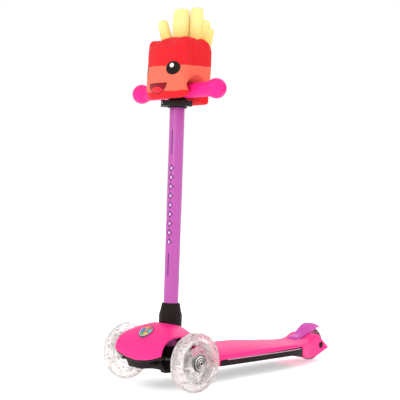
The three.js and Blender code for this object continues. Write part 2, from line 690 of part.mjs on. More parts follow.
function addDeck() {
  place(scooter, meshOf('deck_cover', deckCover(), finishes.pinkPlastic()));
  place(scooter, meshOf('deck_base', deckBase(), finishes.blackPlastic()));
  place(scooter, meshOf('front_housing', frontHousing(), finishes.pinkPlastic()));
  place(scooter, meshOf('front_base', frontBase(), finishes.blackPlastic()));
  for (const [side, sign] of [['left', 1], ['right', -1]]) {
    place(scooter, meshOf(`deck_trim_${side}`, deckTrim(sign), finishes.greyTrim()));
    const screw = turned(
      [[0, 0], [4.4, 0], [4.4, 2.4], [2.2, 2.4], [2.2, 12], [0, 12]], [0, 0, 0], [0, 0, 1], 10);
    place(scooter, meshOf(`base_screw_${side}`, screw, finishes.steel()), sign * 24, 96, 34.7);
  }
}

function addSteering() {
  for (const [side, sign] of [['left', 1], ['right', -1]]) {
    const turn = new THREE.Group();
    turn.position.set(sign * KINGPIN_X, 0, FRONT_WHEEL_RADIUS);
    turn.scale.x = sign;
    place(turn, meshOf(`knuckle_${side}`, knuckle(), finishes.blackPlastic()));
    scooter.add(turn);
    place(scooter, meshOf(`kingpin_${side}`, kingpin(), finishes.steel()), sign * KINGPIN_X);
    const spring = springAlongX(6.2, 0.9, 5, 17);
    place(scooter, meshOf(`centring_spring_${side}`, spring, finishes.springSteel()),
      sign * 30.4, 25.4, 68);
  }
  place(scooter, meshOf('tie_rod', tieRod(), finishes.steel()), 0, STEERING_ARM, TIE_ROD_Z);
  place(scooter, meshOf('lean_pin_front', pivotPin(1), finishes.steel()), 0, -6.9, LEAN_AXIS_Z);
  place(scooter, meshOf('lean_pin_rear', pivotPin(-1), finishes.steel()), 0, 60.1, LEAN_AXIS_Z);
}

function addTBar() {
  const stem = new THREE.Group();
  stem.position.set(0, LEAN_AXIS_Y, LEAN_AXIS_Z);
  stem.rotation.x = -STEM_RAKE;
  scooter.add(stem);
  place(stem, meshOf('steering_block', steeringBlock(), finishes.blackPlastic()));
  place(stem, meshOf('stem_collar', stemCollar(), finishes.blackPlastic()));
  place(stem, meshOf('outer_stem', outerStem(), finishes.purplePaint())).rotation.z = -CLAMP_TURN;
  place(stem, meshOf('stem_bush', stemBush(), finishes.blackPlastic()));
  place(stem, meshOf('inner_stem', innerStem(), finishes.aluminium()));
  place(stem, meshOf('stem_joint', stemJoint(), finishes.blackPlastic()));

  const clamp = new THREE.Group();
  clamp.position.z = CLAMP_HEIGHT;
  clamp.rotation.z = -CLAMP_TURN;
  stem.add(clamp);
  place(clamp, meshOf('clamp_collar', clampCollar(), finishes.blackPlastic()));
  place(clamp, meshOf('clamp_bolt', clampBolt(), finishes.steel()));
  place(clamp, meshOf('clamp_nut', clampNut(), finishes.steel()));
  place(clamp, meshOf('cam_pin', camPin(), finishes.steel()));
  place(clamp, meshOf('clamp_lever', clampLever(), finishes.blackPlastic()));

  const bar = new THREE.Group();
  bar.position.z = BAR_HEIGHT;
  stem.add(bar);
  place(bar, meshOf('handlebar_tube', handlebarTube(), finishes.steel()));
  for (const [side, turn] of [['left', 0], ['right', Math.PI]]) {
    const mesh = meshOf(`grip_${side}`, grip(), finishes.pinkRubber());
    place(bar, mesh).rotation.z = turn;
  }
  place(bar, meshOf('plush_body', plushBody(), finishes.redPlush()));
  place(bar, meshOf('plush_fries', plushFries(), finishes.yellowPlush()));
}

function addFrontWheels() {
  for (const [side, sign] of [['left', 1], ['right', -1]]) {
    const wheel = new THREE.Group();
    wheel.position.set((sign * FRONT_TRACK) / 2, 0, FRONT_WHEEL_RADIUS);
    wheel.rotation.z = sign > 0 ? 0 : Math.PI;
    scooter.add(wheel);
    const clear = finishes.clearPlastic;
    place(wheel, meshOf(`front_tyre_${side}`, tyre(FRONT_WHEEL_RADIUS, 43.4), clear()));
    place(wheel, meshOf(`front_core_${side}`, wheelCore(43.1, 26.5, 39, 5), clear()));
    place(wheel, meshOf(`outer_bearing_${side}`, bearing(4.3), finishes.steel()));
    place(wheel, meshOf(`inner_bearing_${side}`, bearing(-11.3), finishes.steel()));
    place(wheel, meshOf(`light_ring_${side}`, lightRing(), clear()));
    place(wheel, meshOf(`hub_cap_${side}`, hubCap(), finishes.steel()));
    place(wheel, meshOf(`axle_bolt_${side}`, frontAxleBolt(), finishes.steel()));
  }
}

function addRearWheelAndBrake() {
  const wheel = new THREE.Group();
  wheel.position.set(0, REAR_AXLE_Y, REAR_WHEEL_RADIUS);
  scooter.add(wheel);
  const clear = finishes.clearPlastic;
  place(wheel, meshOf('rear_tyre', tyre(REAR_WHEEL_RADIUS, 25.4), clear()));
  place(wheel, meshOf('rear_core', wheelCore(25.1, 15.5, 21.5, 5), clear()));
  place(wheel, meshOf('rear_bearing_left', bearing(4.3), finishes.steel()));
  place(wheel, meshOf('rear_bearing_right', bearing(-11.3), finishes.steel()));
  place(wheel, meshOf('rear_axle', rearAxle(), finishes.steel()));

  const brake = new THREE.Group();
  brake.position.set(0, BRAKE_PIN_Y, BRAKE_PIN_Z);
  scooter.add(brake);
  place(brake, meshOf('brake_fender', brakeFender(), finishes.purplePlastic()));
  place(brake, meshOf('brake_pin', brakePin(), finishes.steel()));
  const spring = springAlongX(3.2, 0.55, 2.5, 3.2);
  place(brake, meshOf('brake_spring', spring, finishes.springSteel()), 10.8);
}

addDeck();
addSteering();
addTBar();
addFrontWheels();
addRearWheelAndBrake();

export default scooter;
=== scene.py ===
# %% [markdown]
# # A child's lean-to-steer kick scooter
# The measured frame of the scooter is loaded first. It fixes every size and every joint, so the
# pieces below only have to be given their true surface: smooth moulded covers, clear glittery
# wheels, soft grips, painted tube, and a stuffed toy box of fries on the handlebar.

import json
import math

import bpy
from mathutils import Matrix, Vector


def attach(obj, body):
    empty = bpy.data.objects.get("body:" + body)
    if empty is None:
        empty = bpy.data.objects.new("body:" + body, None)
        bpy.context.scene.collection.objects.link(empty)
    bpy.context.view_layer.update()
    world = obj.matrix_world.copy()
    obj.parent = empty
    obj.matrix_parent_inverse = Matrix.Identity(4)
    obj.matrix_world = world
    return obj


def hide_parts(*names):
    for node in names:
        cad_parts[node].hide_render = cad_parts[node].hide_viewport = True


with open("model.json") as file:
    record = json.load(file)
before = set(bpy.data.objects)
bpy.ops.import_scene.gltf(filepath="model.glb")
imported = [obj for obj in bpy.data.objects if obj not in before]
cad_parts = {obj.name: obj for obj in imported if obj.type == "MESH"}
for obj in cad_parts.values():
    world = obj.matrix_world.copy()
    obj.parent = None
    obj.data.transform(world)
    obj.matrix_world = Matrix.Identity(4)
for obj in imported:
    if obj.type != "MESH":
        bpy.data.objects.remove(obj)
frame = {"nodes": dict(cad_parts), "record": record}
nodes = frame["nodes"]
scene = bpy.context.scene
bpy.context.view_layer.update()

# %% [markdown]
# A few measures come back all through the file. They are in millimetres from the ground under the
# front axle, which lies AXLE_Y ahead of the frame's own middle. The stem starts at LEAN_Y and
# LEAN_Z, leans back by the slope, and carries the handlebar BAR_ALONG up its length. BAR is the
# same place in the frame's metres, for the shapes and patterns that are made there.

# %% Fixed measures
MM = 0.001
AXLE_Y = 219.5
HUB_Z = 60
REAR_AXLE = (465, 38)
SLOPE = 0.0454
RAKE = math.atan(SLOPE)
LEAN_Y = 26.6
LEAN_Z = 92.0
BAR_ALONG = 514.1
BAR = Vector((0.0, -0.1695, 0.6056))
print("the stem leans back", round(math.degrees(RAKE), 1), "degrees")

# %% [markdown]
# ## Camera
# A long lens from a few metres away keeps upright things upright. It stands a little above the
# middle of the scooter and looks at it from the front left.

# %% Camera
lens = bpy.data.cameras.new("studio_camera")
lens.lens = 98.59
lens.sensor_width = 36
camera = bpy.data.objects.new("studio_camera", lens)
camera.location = (1.6820, -1.7036, 0.43275)
camera.rotation_euler = (math.radians(88.68), 0, math.radians(46.48))
scene.collection.objects.link(camera)
scene.camera = camera
print("camera is", round(camera.location.length, 2), "m away")

# %% [markdown]
# ## Studio
# Bright toys are pictured on a plain white floor under large soft lights. The floor glows a little
# of itself, which keeps the shadow under the toy faint. Area lights are used because a small lamp
# would throw hard shadows that a soft box doesn't.

# %% Floor and lights
bpy.ops.object.select_all(action="DESELECT")
bpy.ops.mesh.primitive_plane_add(size=14, location=(0, 0, -0.0005))
floor = bpy.context.object
floor.name = "studio_floor"
paper = bpy.data.materials.new("studio_paper")
paper.use_nodes = True
sheet = paper.node_tree.nodes["Principled BSDF"].inputs
sheet["Base Color"].default_value = (0.985, 0.985, 0.985, 1)
sheet["Roughness"].default_value = 0.9
sheet["Emission Color"].default_value = (1, 1, 1, 1)
sheet["Emission Strength"].default_value = 0.42
floor.data.materials.append(paper)


def soft_box(name, place, aim, size, power):
    lamp = bpy.data.lights.new(name, "AREA")
    lamp.shape = "SQUARE"
    lamp.size = size
    lamp.energy = power
    box = bpy.data.objects.new(name, lamp)
    box.location = place
    box.rotation_euler = (Vector(aim) - Vector(place)).to_track_quat("-Z", "Y").to_euler()
    scene.collection.objects.link(box)
    print(name, power, "W")


soft_box("key_light", (0.3, -2.3, 2.1), (0, 0, 0.35), 1.3, 19)
soft_box("fill_light", (2.4, 0.2, 1.2), (0, 0, 0.3), 1.8, 5)
soft_box("back_light", (-1.0, 1.9, 1.7), (0, 0, 0.4), 1.4, 10)
scene.world = bpy.data.worlds.new("studio_air")
scene.world.use_nodes = True
scene.world.node_tree.nodes["Background"].inputs["Color"].default_value = (1, 1, 1, 1)
scene.world.node_tree.nodes["Background"].inputs["Strength"].default_value = 1.0
scene.view_settings.view_transform = "Standard"

# %% [markdown]
# ## Node groups for the finishes
# A finish is never one flat colour. Four effects come back on many pieces, so each is built once
# as a node group: the grain and scuffs of moulded plastic, glitter cast in clear plastic, the pile
# of plush, and a round patch with a soft edge for sewn or printed shapes.


# %% Small tools for wiring nodes
def add(tree, kind, values=None, **settings):
    node = tree.nodes.new(kind)
    for key, value in settings.items():
        setattr(node, key, value)
    for key, value in (values or {}).items():
        feed(tree, value, node.inputs[key])
    return node


def feed(tree, value, socket):
    if isinstance(value, bpy.types.NodeSocket):
        tree.links.new(value, socket)
    else:
        socket.default_value = value


def steady(shader, values):
    for label, value in values.items():
        shader.inputs[label].default_value = value


def axes_of(tree, where):
    return add(tree, "ShaderNodeSeparateXYZ", {0: where}).outputs


def colour_ramp(tree, share, blend, stops):
    """Colours the share through (place, colour) stops."""
    ramp = tree.nodes.new("ShaderNodeValToRGB")
    ramp.color_ramp.interpolation = blend
    elements = ramp.color_ramp.elements
    for k, (place, colour) in enumerate(stops):
        stop = elements[k] if k < 2 else elements.new(place)
        stop.position = place
        stop.color = (*colour, 1)
    feed(tree, share, ramp.inputs["Fac"])
    return ramp.outputs["Color"]


def calc(tree, operation, a, b=0.5, clamp=False):
    return add(tree, "ShaderNodeMath", {0: a, 1: b}, operation=operation, use_clamp=clamp).outputs[0]


def between(tree, value, low, high):
    above = calc(tree, "GREATER_THAN", value, low)
    return calc(tree, "MULTIPLY", above, calc(tree, "LESS_THAN", value, high))


def mixed(tree, share, first, second):
    values = {0: share, 6: first, 7: second}
    return add(tree, "ShaderNodeMix", values, data_type="RGBA").outputs[2]


def new_group(name, takes, gives):
    tree = bpy.data.node_groups.new(name, "ShaderNodeTree")
    for label, kind, value in takes:
        socket = tree.interface.new_socket(label, in_out="INPUT", socket_type="NodeSocket" + kind)
        if value is not None:
            socket.default_value = value
    for label, kind in gives:
        tree.interface.new_socket(label, in_out="OUTPUT", socket_type="NodeSocket" + kind)
    print("node group:", name)
    return tree, tree.nodes.new("NodeGroupInput").outputs, tree.nodes.new("NodeGroupOutput").inputs


def place_group(tree, group, values):
    return add(tree, "ShaderNodeGroup", values, node_tree=group).outputs


# %% [markdown]
# Moulded plastic has a faint cloudy tone from the pigment, a fine spark-eroded grain and a few
# long scuffs that are a little rougher than the rest.

# %% Grain of moulded plastic and paint
moulded, taken, given = new_group(
    "moulded_grain",
    [("Vector", "Vector", None), ("Colour", "Color", (1, 1, 1, 1)), ("Cloud", "Float", 0.06),
     ("Grain", "Float", 900.0), ("Gloss", "Float", 0.35), ("Scuff", "Float", 0.12)],
    [("Colour", "Color"), ("Roughness", "Float"), ("Height", "Float")],
)
cloud = add(moulded, "ShaderNodeTexNoise", {"Vector": taken["Vector"], "Scale": 14.0, "Detail": 3.0})
grain = add(moulded, "ShaderNodeTexNoise", {"Vector": taken["Vector"], "Scale": taken["Grain"]})
stretch = add(moulded, "ShaderNodeMapping", {"Vector": taken["Vector"], "Scale": (30.0, 240.0, 60.0)})
streak = add(moulded, "ShaderNodeTexNoise", {"Vector": stretch.outputs[0], "Scale": 1.0, "Detail": 4.0})
darker = mixed(moulded, 0.45, taken["Colour"], (0.02, 0.0, 0.01, 1))
cloudy = calc(moulded, "MULTIPLY", cloud.outputs["Fac"], taken["Cloud"])
feed(moulded, mixed(moulded, cloudy, taken["Colour"], darker), given["Colour"])
scuffed = calc(moulded, "SUBTRACT", streak.outputs["Fac"], 0.58, clamp=True)
scuffed = calc(moulded, "MULTIPLY", calc(moulded, "MULTIPLY", scuffed, 4.0), taken["Scuff"])
feed(moulded, calc(moulded, "ADD", taken["Gloss"], scuffed), given["Roughness"])
feed(moulded, grain.outputs["Fac"], given["Height"])

# %% [markdown]
# Glitter is small flat flakes that lie at every angle in the clear plastic. A Voronoi pattern has
# one random colour a cell, so each cell is one flake: the random value tilts the surface and
# decides how bright the flake is.

# %% Glitter in clear plastic
glitter, taken, given = new_group(
    "glitter",
    [("Vector", "Vector", None), ("Flakes", "Float", 420.0), ("Clear", "Color", (1, 1, 1, 1)),
     ("Flake", "Color", (1, 1, 1, 1)), ("Share", "Float", 0.7)],
    [("Colour", "Color"), ("Height", "Float")],
)
cells = add(glitter, "ShaderNodeTexVoronoi", {"Vector": taken["Vector"], "Scale": taken["Flakes"]})
chance = add(glitter, "ShaderNodeSeparateColor", {0: cells.outputs["Color"]})
lit = calc(glitter, "GREATER_THAN", chance.outputs[0], taken["Share"])
dim = calc(glitter, "MULTIPLY", calc(glitter, "LESS_THAN", chance.outputs[1], 0.13), 0.85)
base = mixed(glitter, dim, taken["Clear"], (0.14, 0.12, 0.11, 1))
feed(glitter, mixed(glitter, lit, base, taken["Flake"]), given["Colour"])
feed(glitter, chance.outputs[2], given["Height"])

# %% [markdown]
# Plush is a short pile. Close by it is a fine speckle, and from further off the pile lies in
# clumps that are lighter or darker as they lean.

# %% Pile of plush
pile, taken, given = new_group(
    "plush_pile",
    [("Vector", "Vector", None), ("Colour", "Color", (1, 1, 1, 1)), ("Clumps", "Float", 0.25)],
    [("Colour", "Color"), ("Height", "Float")],
)
hairs = add(pile, "ShaderNodeTexNoise", {"Vector": taken["Vector"], "Scale": 1100.0, "Detail": 2.0})
clumps = add(pile, "ShaderNodeTexNoise", {"Vector": taken["Vector"], "Scale": 160.0, "Detail": 4.0})
lean = calc(pile, "MULTIPLY", clumps.outputs["Fac"], taken["Clumps"])
shaded = mixed(pile, 0.55, taken["Colour"], (0.03, 0.0, 0.0, 1))
feed(pile, mixed(pile, lean, taken["Colour"], shaded), given["Colour"])
both = calc(pile, "ADD", hairs.outputs["Fac"], calc(pile, "MULTIPLY", clumps.outputs["Fac"], 1.6))
feed(pile, both, given["Height"])

# %% [markdown]
# A patch is a region inside an ellipse. The distance from its middle, measured in its own sizes,
# is 1 at its edge, so a narrow ramp round 1 gives a mask with a clean edge.

# %% Round patch
patch, taken, given = new_group(
    "round_patch",
    [("Vector", "Vector", None), ("Middle", "Vector", (0, 0, 0)), ("Size", "Vector", (1, 1, 1)),
     ("Edge", "Float", 0.04)],
    [("Mask", "Float")],
)
offset = add(patch, "ShaderNodeVectorMath", {0: taken["Vector"], 1: taken["Middle"]},
             operation="SUBTRACT")
sized = add(patch, "ShaderNodeVectorMath", {0: offset.outputs[0], 1: taken["Size"]}, operation="DIVIDE")
reach = add(patch, "ShaderNodeVectorMath", {0: sized.outputs[0]}, operation="LENGTH").outputs["Value"]
inner = calc(patch, "SUBTRACT", 1.0, taken["Edge"])
outer = calc(patch, "ADD", 1.0, taken["Edge"])
ramp = add(patch, "ShaderNodeMapRange", {0: reach, 1: inner, 2: outer, 3: 1.0, 4: 0.0})
feed(patch, ramp.outputs[0], given["Mask"])


# %% [markdown]
# ## Plain finishes
# Most pieces are one moulded plastic, rubber or metal. They share a recipe: the grain group gives
# the colour, roughness and height, and everything that is the same all over stays on the shader.


# %% One recipe for plastic, rubber, paint and metal
def new_finish(name):
    material = bpy.data.materials.new(name)
    material.use_nodes = True
    tree = material.node_tree
    where = tree.nodes.new("ShaderNodeTexCoord").outputs["Object"]
    return material, tree, tree.nodes["Principled BSDF"], where


def bump(tree, height, depth, distance=0.001):
    values = {"Height": height, "Strength": depth, "Distance": distance}
    return add(tree, "ShaderNodeBump", values).outputs[0]


def plain_finish(name, colour, gloss, grain=900.0, depth=0.1, metal=0.0, mirror=0.5):
    material, tree, shader, where = new_finish(name)
    look = place_group(tree, moulded, {
        "Vector": where, "Colour": (*colour, 1), "Cloud": 0.25, "Grain": grain, "Gloss": gloss})
    feed(tree, look["Colour"], shader.inputs["Base Color"])
    feed(tree, look["Roughness"], shader.inputs["Roughness"])
    feed(tree, bump(tree, look["Height"], depth), shader.inputs["Normal"])
    steady(shader, {"Metallic": metal, "Specular IOR Level": mirror})
    print("finish:", name)
    return material


pink_plastic = plain_finish("pink_plastic", (0.93, 0.012, 0.225), 0.46, depth=0.05, mirror=0.34)
black_plastic = plain_finish("black_plastic", (0.011, 0.007, 0.006), 0.5, grain=1300, depth=0.2,
                             mirror=0.12)
glossy_black = plain_finish("glossy_black", (0.008, 0.006, 0.006), 0.26, depth=0.03, mirror=0.25)
grey_trim = plain_finish("grey_trim", (0.52, 0.32, 0.40), 0.5, mirror=0.3)
purple_plastic = plain_finish("purple_plastic", (0.60, 0.070, 0.42), 0.42, depth=0.06, mirror=0.3)
steel = plain_finish("zinc_steel", (0.62, 0.61, 0.60), 0.3, grain=1600, depth=0.06, metal=1.0)
spring_steel = plain_finish("spring_steel", (0.35, 0.35, 0.37), 0.35, metal=1.0)
drawn_aluminium = plain_finish("drawn_aluminium", (0.72, 0.73, 0.75), 0.34, metal=1.0)
dark_steel = plain_finish("blackened_steel", (0.012, 0.008, 0.01), 0.5, depth=0.06, mirror=0.1)

# %% [markdown]
# The hub caps are turned and polished steel. Their reflections are painted into the colour: bright
# and dark rings round the middle, like turned lands and grooves, and two painted reflection fans,
# like those from the fine spiral of the tool. Both follow the distance and the angle about the axle.

# %% Turned and polished cap
cap_metal, tree, shader, where = new_finish("polished_cap")
axes = axes_of(tree, where)
cap_y = calc(tree, "ADD", axes[1], AXLE_Y * MM)
cap_z = calc(tree, "SUBTRACT", axes[2], HUB_Z * MM)
arm = add(tree, "ShaderNodeCombineXYZ", {1: cap_y, 2: cap_z}).outputs[0]
far = add(tree, "ShaderNodeVectorMath", {0: arm}, operation="LENGTH").outputs["Value"]
# Painted reflections: bright and dark rings by distance from the axle, and two fans by angle.
PAINTED_REFLECTION_RINGS = ((0.0, 0.02), (0.15, 0.03), (0.20, 0.80), (0.29, 0.70), (0.34, 0.04), (0.42, 0.55),
         (0.54, 0.45), (0.59, 0.03), (0.67, 0.75), (0.80, 0.60), (0.87, 0.03), (0.96, 0.50))
painted_reflection_rings = colour_ramp(tree, calc(tree, "DIVIDE", far, 0.0185), "EASE", [
    (place, (tone, tone * 0.94, tone * 0.92)) for place, tone in PAINTED_REFLECTION_RINGS])
turned = calc(tree, "MULTIPLY", calc(tree, "ARCTAN2", cap_z, cap_y), 2.0)
painted_reflection_fans = calc(tree, "MULTIPLY_ADD", calc(tree, "SINE", calc(tree, "ADD", turned, 0.8)), 0.35)
painted_reflection_fans.node.inputs[2].default_value = 0.35
feed(tree, mixed(tree, painted_reflection_fans, painted_reflection_rings, (0.03, 0.03, 0.03, 1)), shader.inputs["Base Color"])
steady(shader, {"Metallic": 1.0, "Roughness": 0.17})
print("finish: polished_cap")

# %% [markdown]
# The wheels are cast in clear polyurethane full of glitter. Full transmission would make them
# disappear on a white floor, so part of the light is scattered by the milky body. The front tyres
# and their thin cores also let a share of the view straight through.


# %% Clear glittery plastic
def clear_finish(name, tint, flake, flakes, milky, rough, opaque=1.0):
    material, tree, shader, where = new_finish(name)
    look = place_group(tree, glitter, {
        "Vector": where, "Flakes": flakes, "Clear": (*tint, 1), "Flake": (*flake, 1)})
    feed(tree, look["Colour"], shader.inputs["Base Color"])
    feed(tree, bump(tree, look["Height"], 0.35, 0.0006), shader.inputs["Normal"])
    steady(shader, {"Roughness": rough, "Transmission Weight": 1 - milky, "IOR": 1.4, "Alpha": opaque})
    print("finish:", name)
    return material


clear_tyre = clear_finish("clear_tyre", (0.95, 0.86, 0.84), (1, 0.98, 0.97), 300, 0.30, 0.12, 0.84)
clear_core = clear_finish("clear_core", (0.97, 0.90, 0.90), (1, 0.98, 0.98), 260, 0.30, 0.08, 0.55)
# The rear wheel is the same clear plastic, but it sits in shade inside the pink fork. Its copy is
# painted dark plum with dimmer flakes: painted shade, with the fork's pink as a painted reflection.
rear_clear_painted_shade = clear_finish("rear_clear_painted_shade", (0.14, 0.012, 0.06), (0.55, 0.12, 0.30), 330, 0.8, 0.2)

# %% [markdown]
# ## Tools of the workshop
# Everything is modelled in millimetres, measured from the ground under the front axle, and scaled
# to metres when it is set in place. A lathe draws a ring out along an outline; a mould lays a grid
# over a curved surface; a cutter carves; and melting rounds every edge as a moulding tool does.

# %% Modelling helpers
UPRIGHT = Matrix.Identity(3)
TILT = Matrix.Rotation(-RAKE, 3, "X")
LIE_ALONG_X = Matrix.Rotation(math.pi / 2, 3, "Y")


def only(piece):
    bpy.ops.object.select_all(action="DESELECT")
    piece.select_set(True)
    bpy.context.view_layer.objects.active = piece


def settle(piece):
    only(piece)
    bpy.ops.object.transform_apply(location=True, rotation=True, scale=True)
    return piece


def edit_all(piece, operator, **settings):
    only(piece)
    bpy.ops.object.mode_set(mode="EDIT")
    bpy.ops.mesh.select_all(action="SELECT")
    operator(**settings)
    bpy.ops.object.mode_set(mode="OBJECT")


def named(name):
    piece = bpy.context.object
    piece.name = piece.data.name = name
    return piece


def close_up(near):
    bpy.ops.mesh.select_all(action="SELECT")
    bpy.ops.mesh.remove_doubles(threshold=near)
    bpy.ops.mesh.fill_holes(sides=0)
    bpy.ops.mesh.normals_make_consistent(inside=False)
    bpy.ops.object.mode_set(mode="OBJECT")


def lathe(name, outline, sides=48):
    """Draws a ring along Z through (along, radius) points; a radius of 0 ends in a point."""
    thin = 0.001
    bpy.ops.object.select_all(action="DESELECT")
    bpy.ops.mesh.primitive_circle_add(vertices=sides, radius=max(outline[0][1], thin))
    piece = named(name)
    bpy.ops.object.mode_set(mode="EDIT")
    bpy.ops.mesh.select_all(action="SELECT")
    bpy.ops.transform.translate(value=(0, 0, outline[0][0]))
    for (start, before), (end, after) in zip(outline, outline[1:]):
        bpy.ops.mesh.extrude_edges_move(TRANSFORM_OT_translate={"value": (0, 0, end - start)})
        grow = max(after, thin) / max(before, thin)
        bpy.ops.transform.resize(value=(grow, grow, 1), center_override=(0, 0, end))
    close_up(0.01)
    return piece


def mould(name, rows, columns, place):
    """Lays a grid over a surface: place(u, v) gives the point for u and v from 0 to 1."""
    bpy.ops.object.select_all(action="DESELECT")
    bpy.ops.mesh.primitive_grid_add(x_subdivisions=rows, y_subdivisions=columns, size=1)
    piece = named(name)
    for vertex in piece.data.vertices:
        vertex.co = place(vertex.co.x + 0.5, vertex.co.y + 0.5)
    return piece


def solid_mould(name, rows, columns, place):
    piece = mould(name, rows, columns, place)
    bpy.ops.object.mode_set(mode="EDIT")
    close_up(0.002)
    return piece


def brick(x, y, z):
    bpy.ops.object.select_all(action="DESELECT")
    bpy.ops.mesh.primitive_cube_add(
        size=1, location=[(a + b) / 2 for a, b in (x, y, z)], scale=[b - a for a, b in (x, y, z)])
    return settle(named("cutter"))


def drill(radius, x, y, z):
    """A drill along X from x[0] to x[1]."""
    bpy.ops.object.select_all(action="DESELECT")
    bpy.ops.mesh.primitive_cylinder_add(
        vertices=32, radius=radius, depth=x[1] - x[0], location=((x[0] + x[1]) / 2, y, z),
        rotation=(0, math.pi / 2, 0))
    return settle(named("cutter"))


def finish_modifier(piece, kind, **settings):
    only(piece)
    modifier = piece.modifiers.new(kind.title(), kind)
    for key, value in settings.items():
        setattr(modifier, key, value)
    bpy.ops.object.modifier_apply(modifier=modifier.name)


def combine(piece, others, operation="DIFFERENCE"):
    for other in others:
        finish_modifier(piece, "BOOLEAN", operation=operation, object=other, solver="EXACT")
        bpy.data.objects.remove(other)


def melt(piece, voxel, rounds):
    finish_modifier(piece, "REMESH", mode="VOXEL", voxel_size=voxel)
    finish_modifier(piece, "SMOOTH", factor=0.5, iterations=rounds)


def set_in_place(piece, place=(0, 0, 0), turn=UPRIGHT):
    stand = Vector((place[0] * MM, (place[1] - AXLE_Y) * MM, place[2] * MM))
    piece.matrix_world = Matrix.Translation(stand) @ turn.to_4x4() @ Matrix.Scale(MM, 4)
    settle(piece)


def on_stem(height):
    return (0, LEAN_Y + height * math.sin(RAKE), LEAN_Z + height * math.cos(RAKE))


def hand_over(piece, body, slot, material, *replaced, angle=35):
    """Shades the finished piece, gives it its finish and hangs it on its body."""
    only(piece)
    bpy.ops.object.shade_smooth_by_angle(angle=math.radians(angle))
    piece.data.materials.clear()
    piece.data.materials.append(material)
    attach(piece, body)
    if replaced:
        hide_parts(*replaced)
    sizes = [round(1000 * d) for d in piece.dimensions]
    print(f"{piece.name}: {len(piece.data.polygons)} faces,", sizes)


def through(*knots):
    """A smooth curve through (place, value) knots."""
    def value(at):
        if at <= knots[0][0]:
            return knots[0][1]
        if at >= knots[-1][0]:
            return knots[-1][1]
        i = next(k for k in range(len(knots)) if knots[k][0] > at) - 1

        def slope(k):
            before, after = knots[max(k - 1, 0)], knots[min(k + 1, len(knots) - 1)]
            return (after[1] - before[1]) / (after[0] - before[0])

        width = knots[i + 1][0] - knots[i][0]
        t = (at - knots[i][0]) / width
        return (knots[i][1] * (1 + 2 * t) * (1 - t) ** 2 + slope(i) * width * t * (1 - t) ** 2
                + knots[i + 1][1] * t * t * (3 - 2 * t) - slope(i + 1) * width * t * t * (1 - t))
    return value


# %% [markdown]
# ## Deck
# The deck is one pink moulding with a crowned top that ends in a fork round the rear wheel. Its
# sections change slowly along its length, so it is moulded as a closed blank from curves of
# width, edge height and middle height, and then hollowed and carved like the real tool. The top is
# dished a little under the front of the fender, a lug in the recess holds the fender's pin, and
# the tip of the tail is drawn out last.

# %% Curves of the deck
half_width = through((15, 50), (84, 54), (118, 58), (345, 58), (385, 52), (425, 41), (489, 36))
edge_height = through((15, 56), (113, 54.2), (345, 52.6), (385, 49), (406, 48), (424, 52),
                      (440, 60), (453, 63.2), (464, 57), (476, 45), (489, 31.5))
middle_height = through((15, 130), (30, 127), (50, 118.5), (67, 107), (84, 93), (100, 80),
                        (120, 73.5), (210, 70.5), (260, 66), (310, 59.5), (350, 55), (385, 53.5),
                        (400, 54.5), (420, 58.5), (438, 64.5), (453, 65.2), (464, 58.8), (476, 46.6),
                        (489, 33.5))
under_height = through((15, 42), (80, 42), (84, 32.6), (120, 32), (360, 28.4), (385, 27),
                       (398, 17.5), (412, 13.6), (435, 12.5), (453, 15.3), (474, 22), (489, 28.5))


def deck_surface(start, end, inset=0.0, floor_height=None):
    """Closed sections: 40 columns over the top, and 10 down one side, under and up the other."""
    def place(u, v):
        y = start + (end - start) * u
        half = half_width(y) - inset
        edge = edge_height(y) - inset
        low = under_height(y) if floor_height is None else floor_height
        if v < 0.8:
            across = 1 - v / 0.4
            crown = middle_height(y) - edge_height(y)
            top = edge + crown * (1 - abs(across) ** 2.4)
            dish = 2.5 * math.exp(-((y - 424) / 11) ** 2 - (across * half / 26) ** 4)
            return (across * (half - 1.2), y, top - dish)
        corners = ((1.2 - half, edge), (-half, edge - 3), (-half, low), (half, low),
                   (half, edge - 3), (half - 1.2, edge))
        way = min(max((v - 0.8) / 0.04, 0), 5)
        k = min(int(way), 4)
        (x0, z0), (x1, z1) = corners[k], corners[k + 1]
        return (x0 + (x1 - x0) * (way - k), y, z0 + (z1 - z0) * (way - k))
    return place


# %% Deck cover with its forked tail
deck = solid_mould("deck_shell", 150, 50, deck_surface(84.3, 489))
under = solid_mould("cutter", 40, 50, deck_surface(60, 380, 3.0, 30))
split = brick((-90, 90), (118, 384), (0, 43.6))
slot_cut = brick((-17.5, 17.5), (416, 520), (0, 120))
brake_cut = brick((-17.5, 17.5), (401, 520), (47, 120))
recesses = [drill(radius, span, *REAR_AXLE) for radius, span in (
    (7, (30, 60)), (7, (-60, -30)), (4.3, (-60, 60)))]
combine(deck, [under, split, slot_cut, brake_cut, *recesses])
combine(deck, [brick((-8, 8), (406.5, 413.5), (44, 57))], "UNION")
melt(deck, 1.5, 6)
for vertex in deck.data.vertices:
    vertex.co.y += 4.5 * max(vertex.co.y - 472, 0) / 17
set_in_place(deck)
hand_over(deck, "deck", "pink_plastic", pink_plastic, "deck_cover", angle=60)

# %% [markdown]
# ## Front cover
# A hood arches over the steering gear from wheel to wheel, and a neck runs from it down to the
# deck. The hood's sections run fore and aft: a round nose, a crown, and a steeper back.


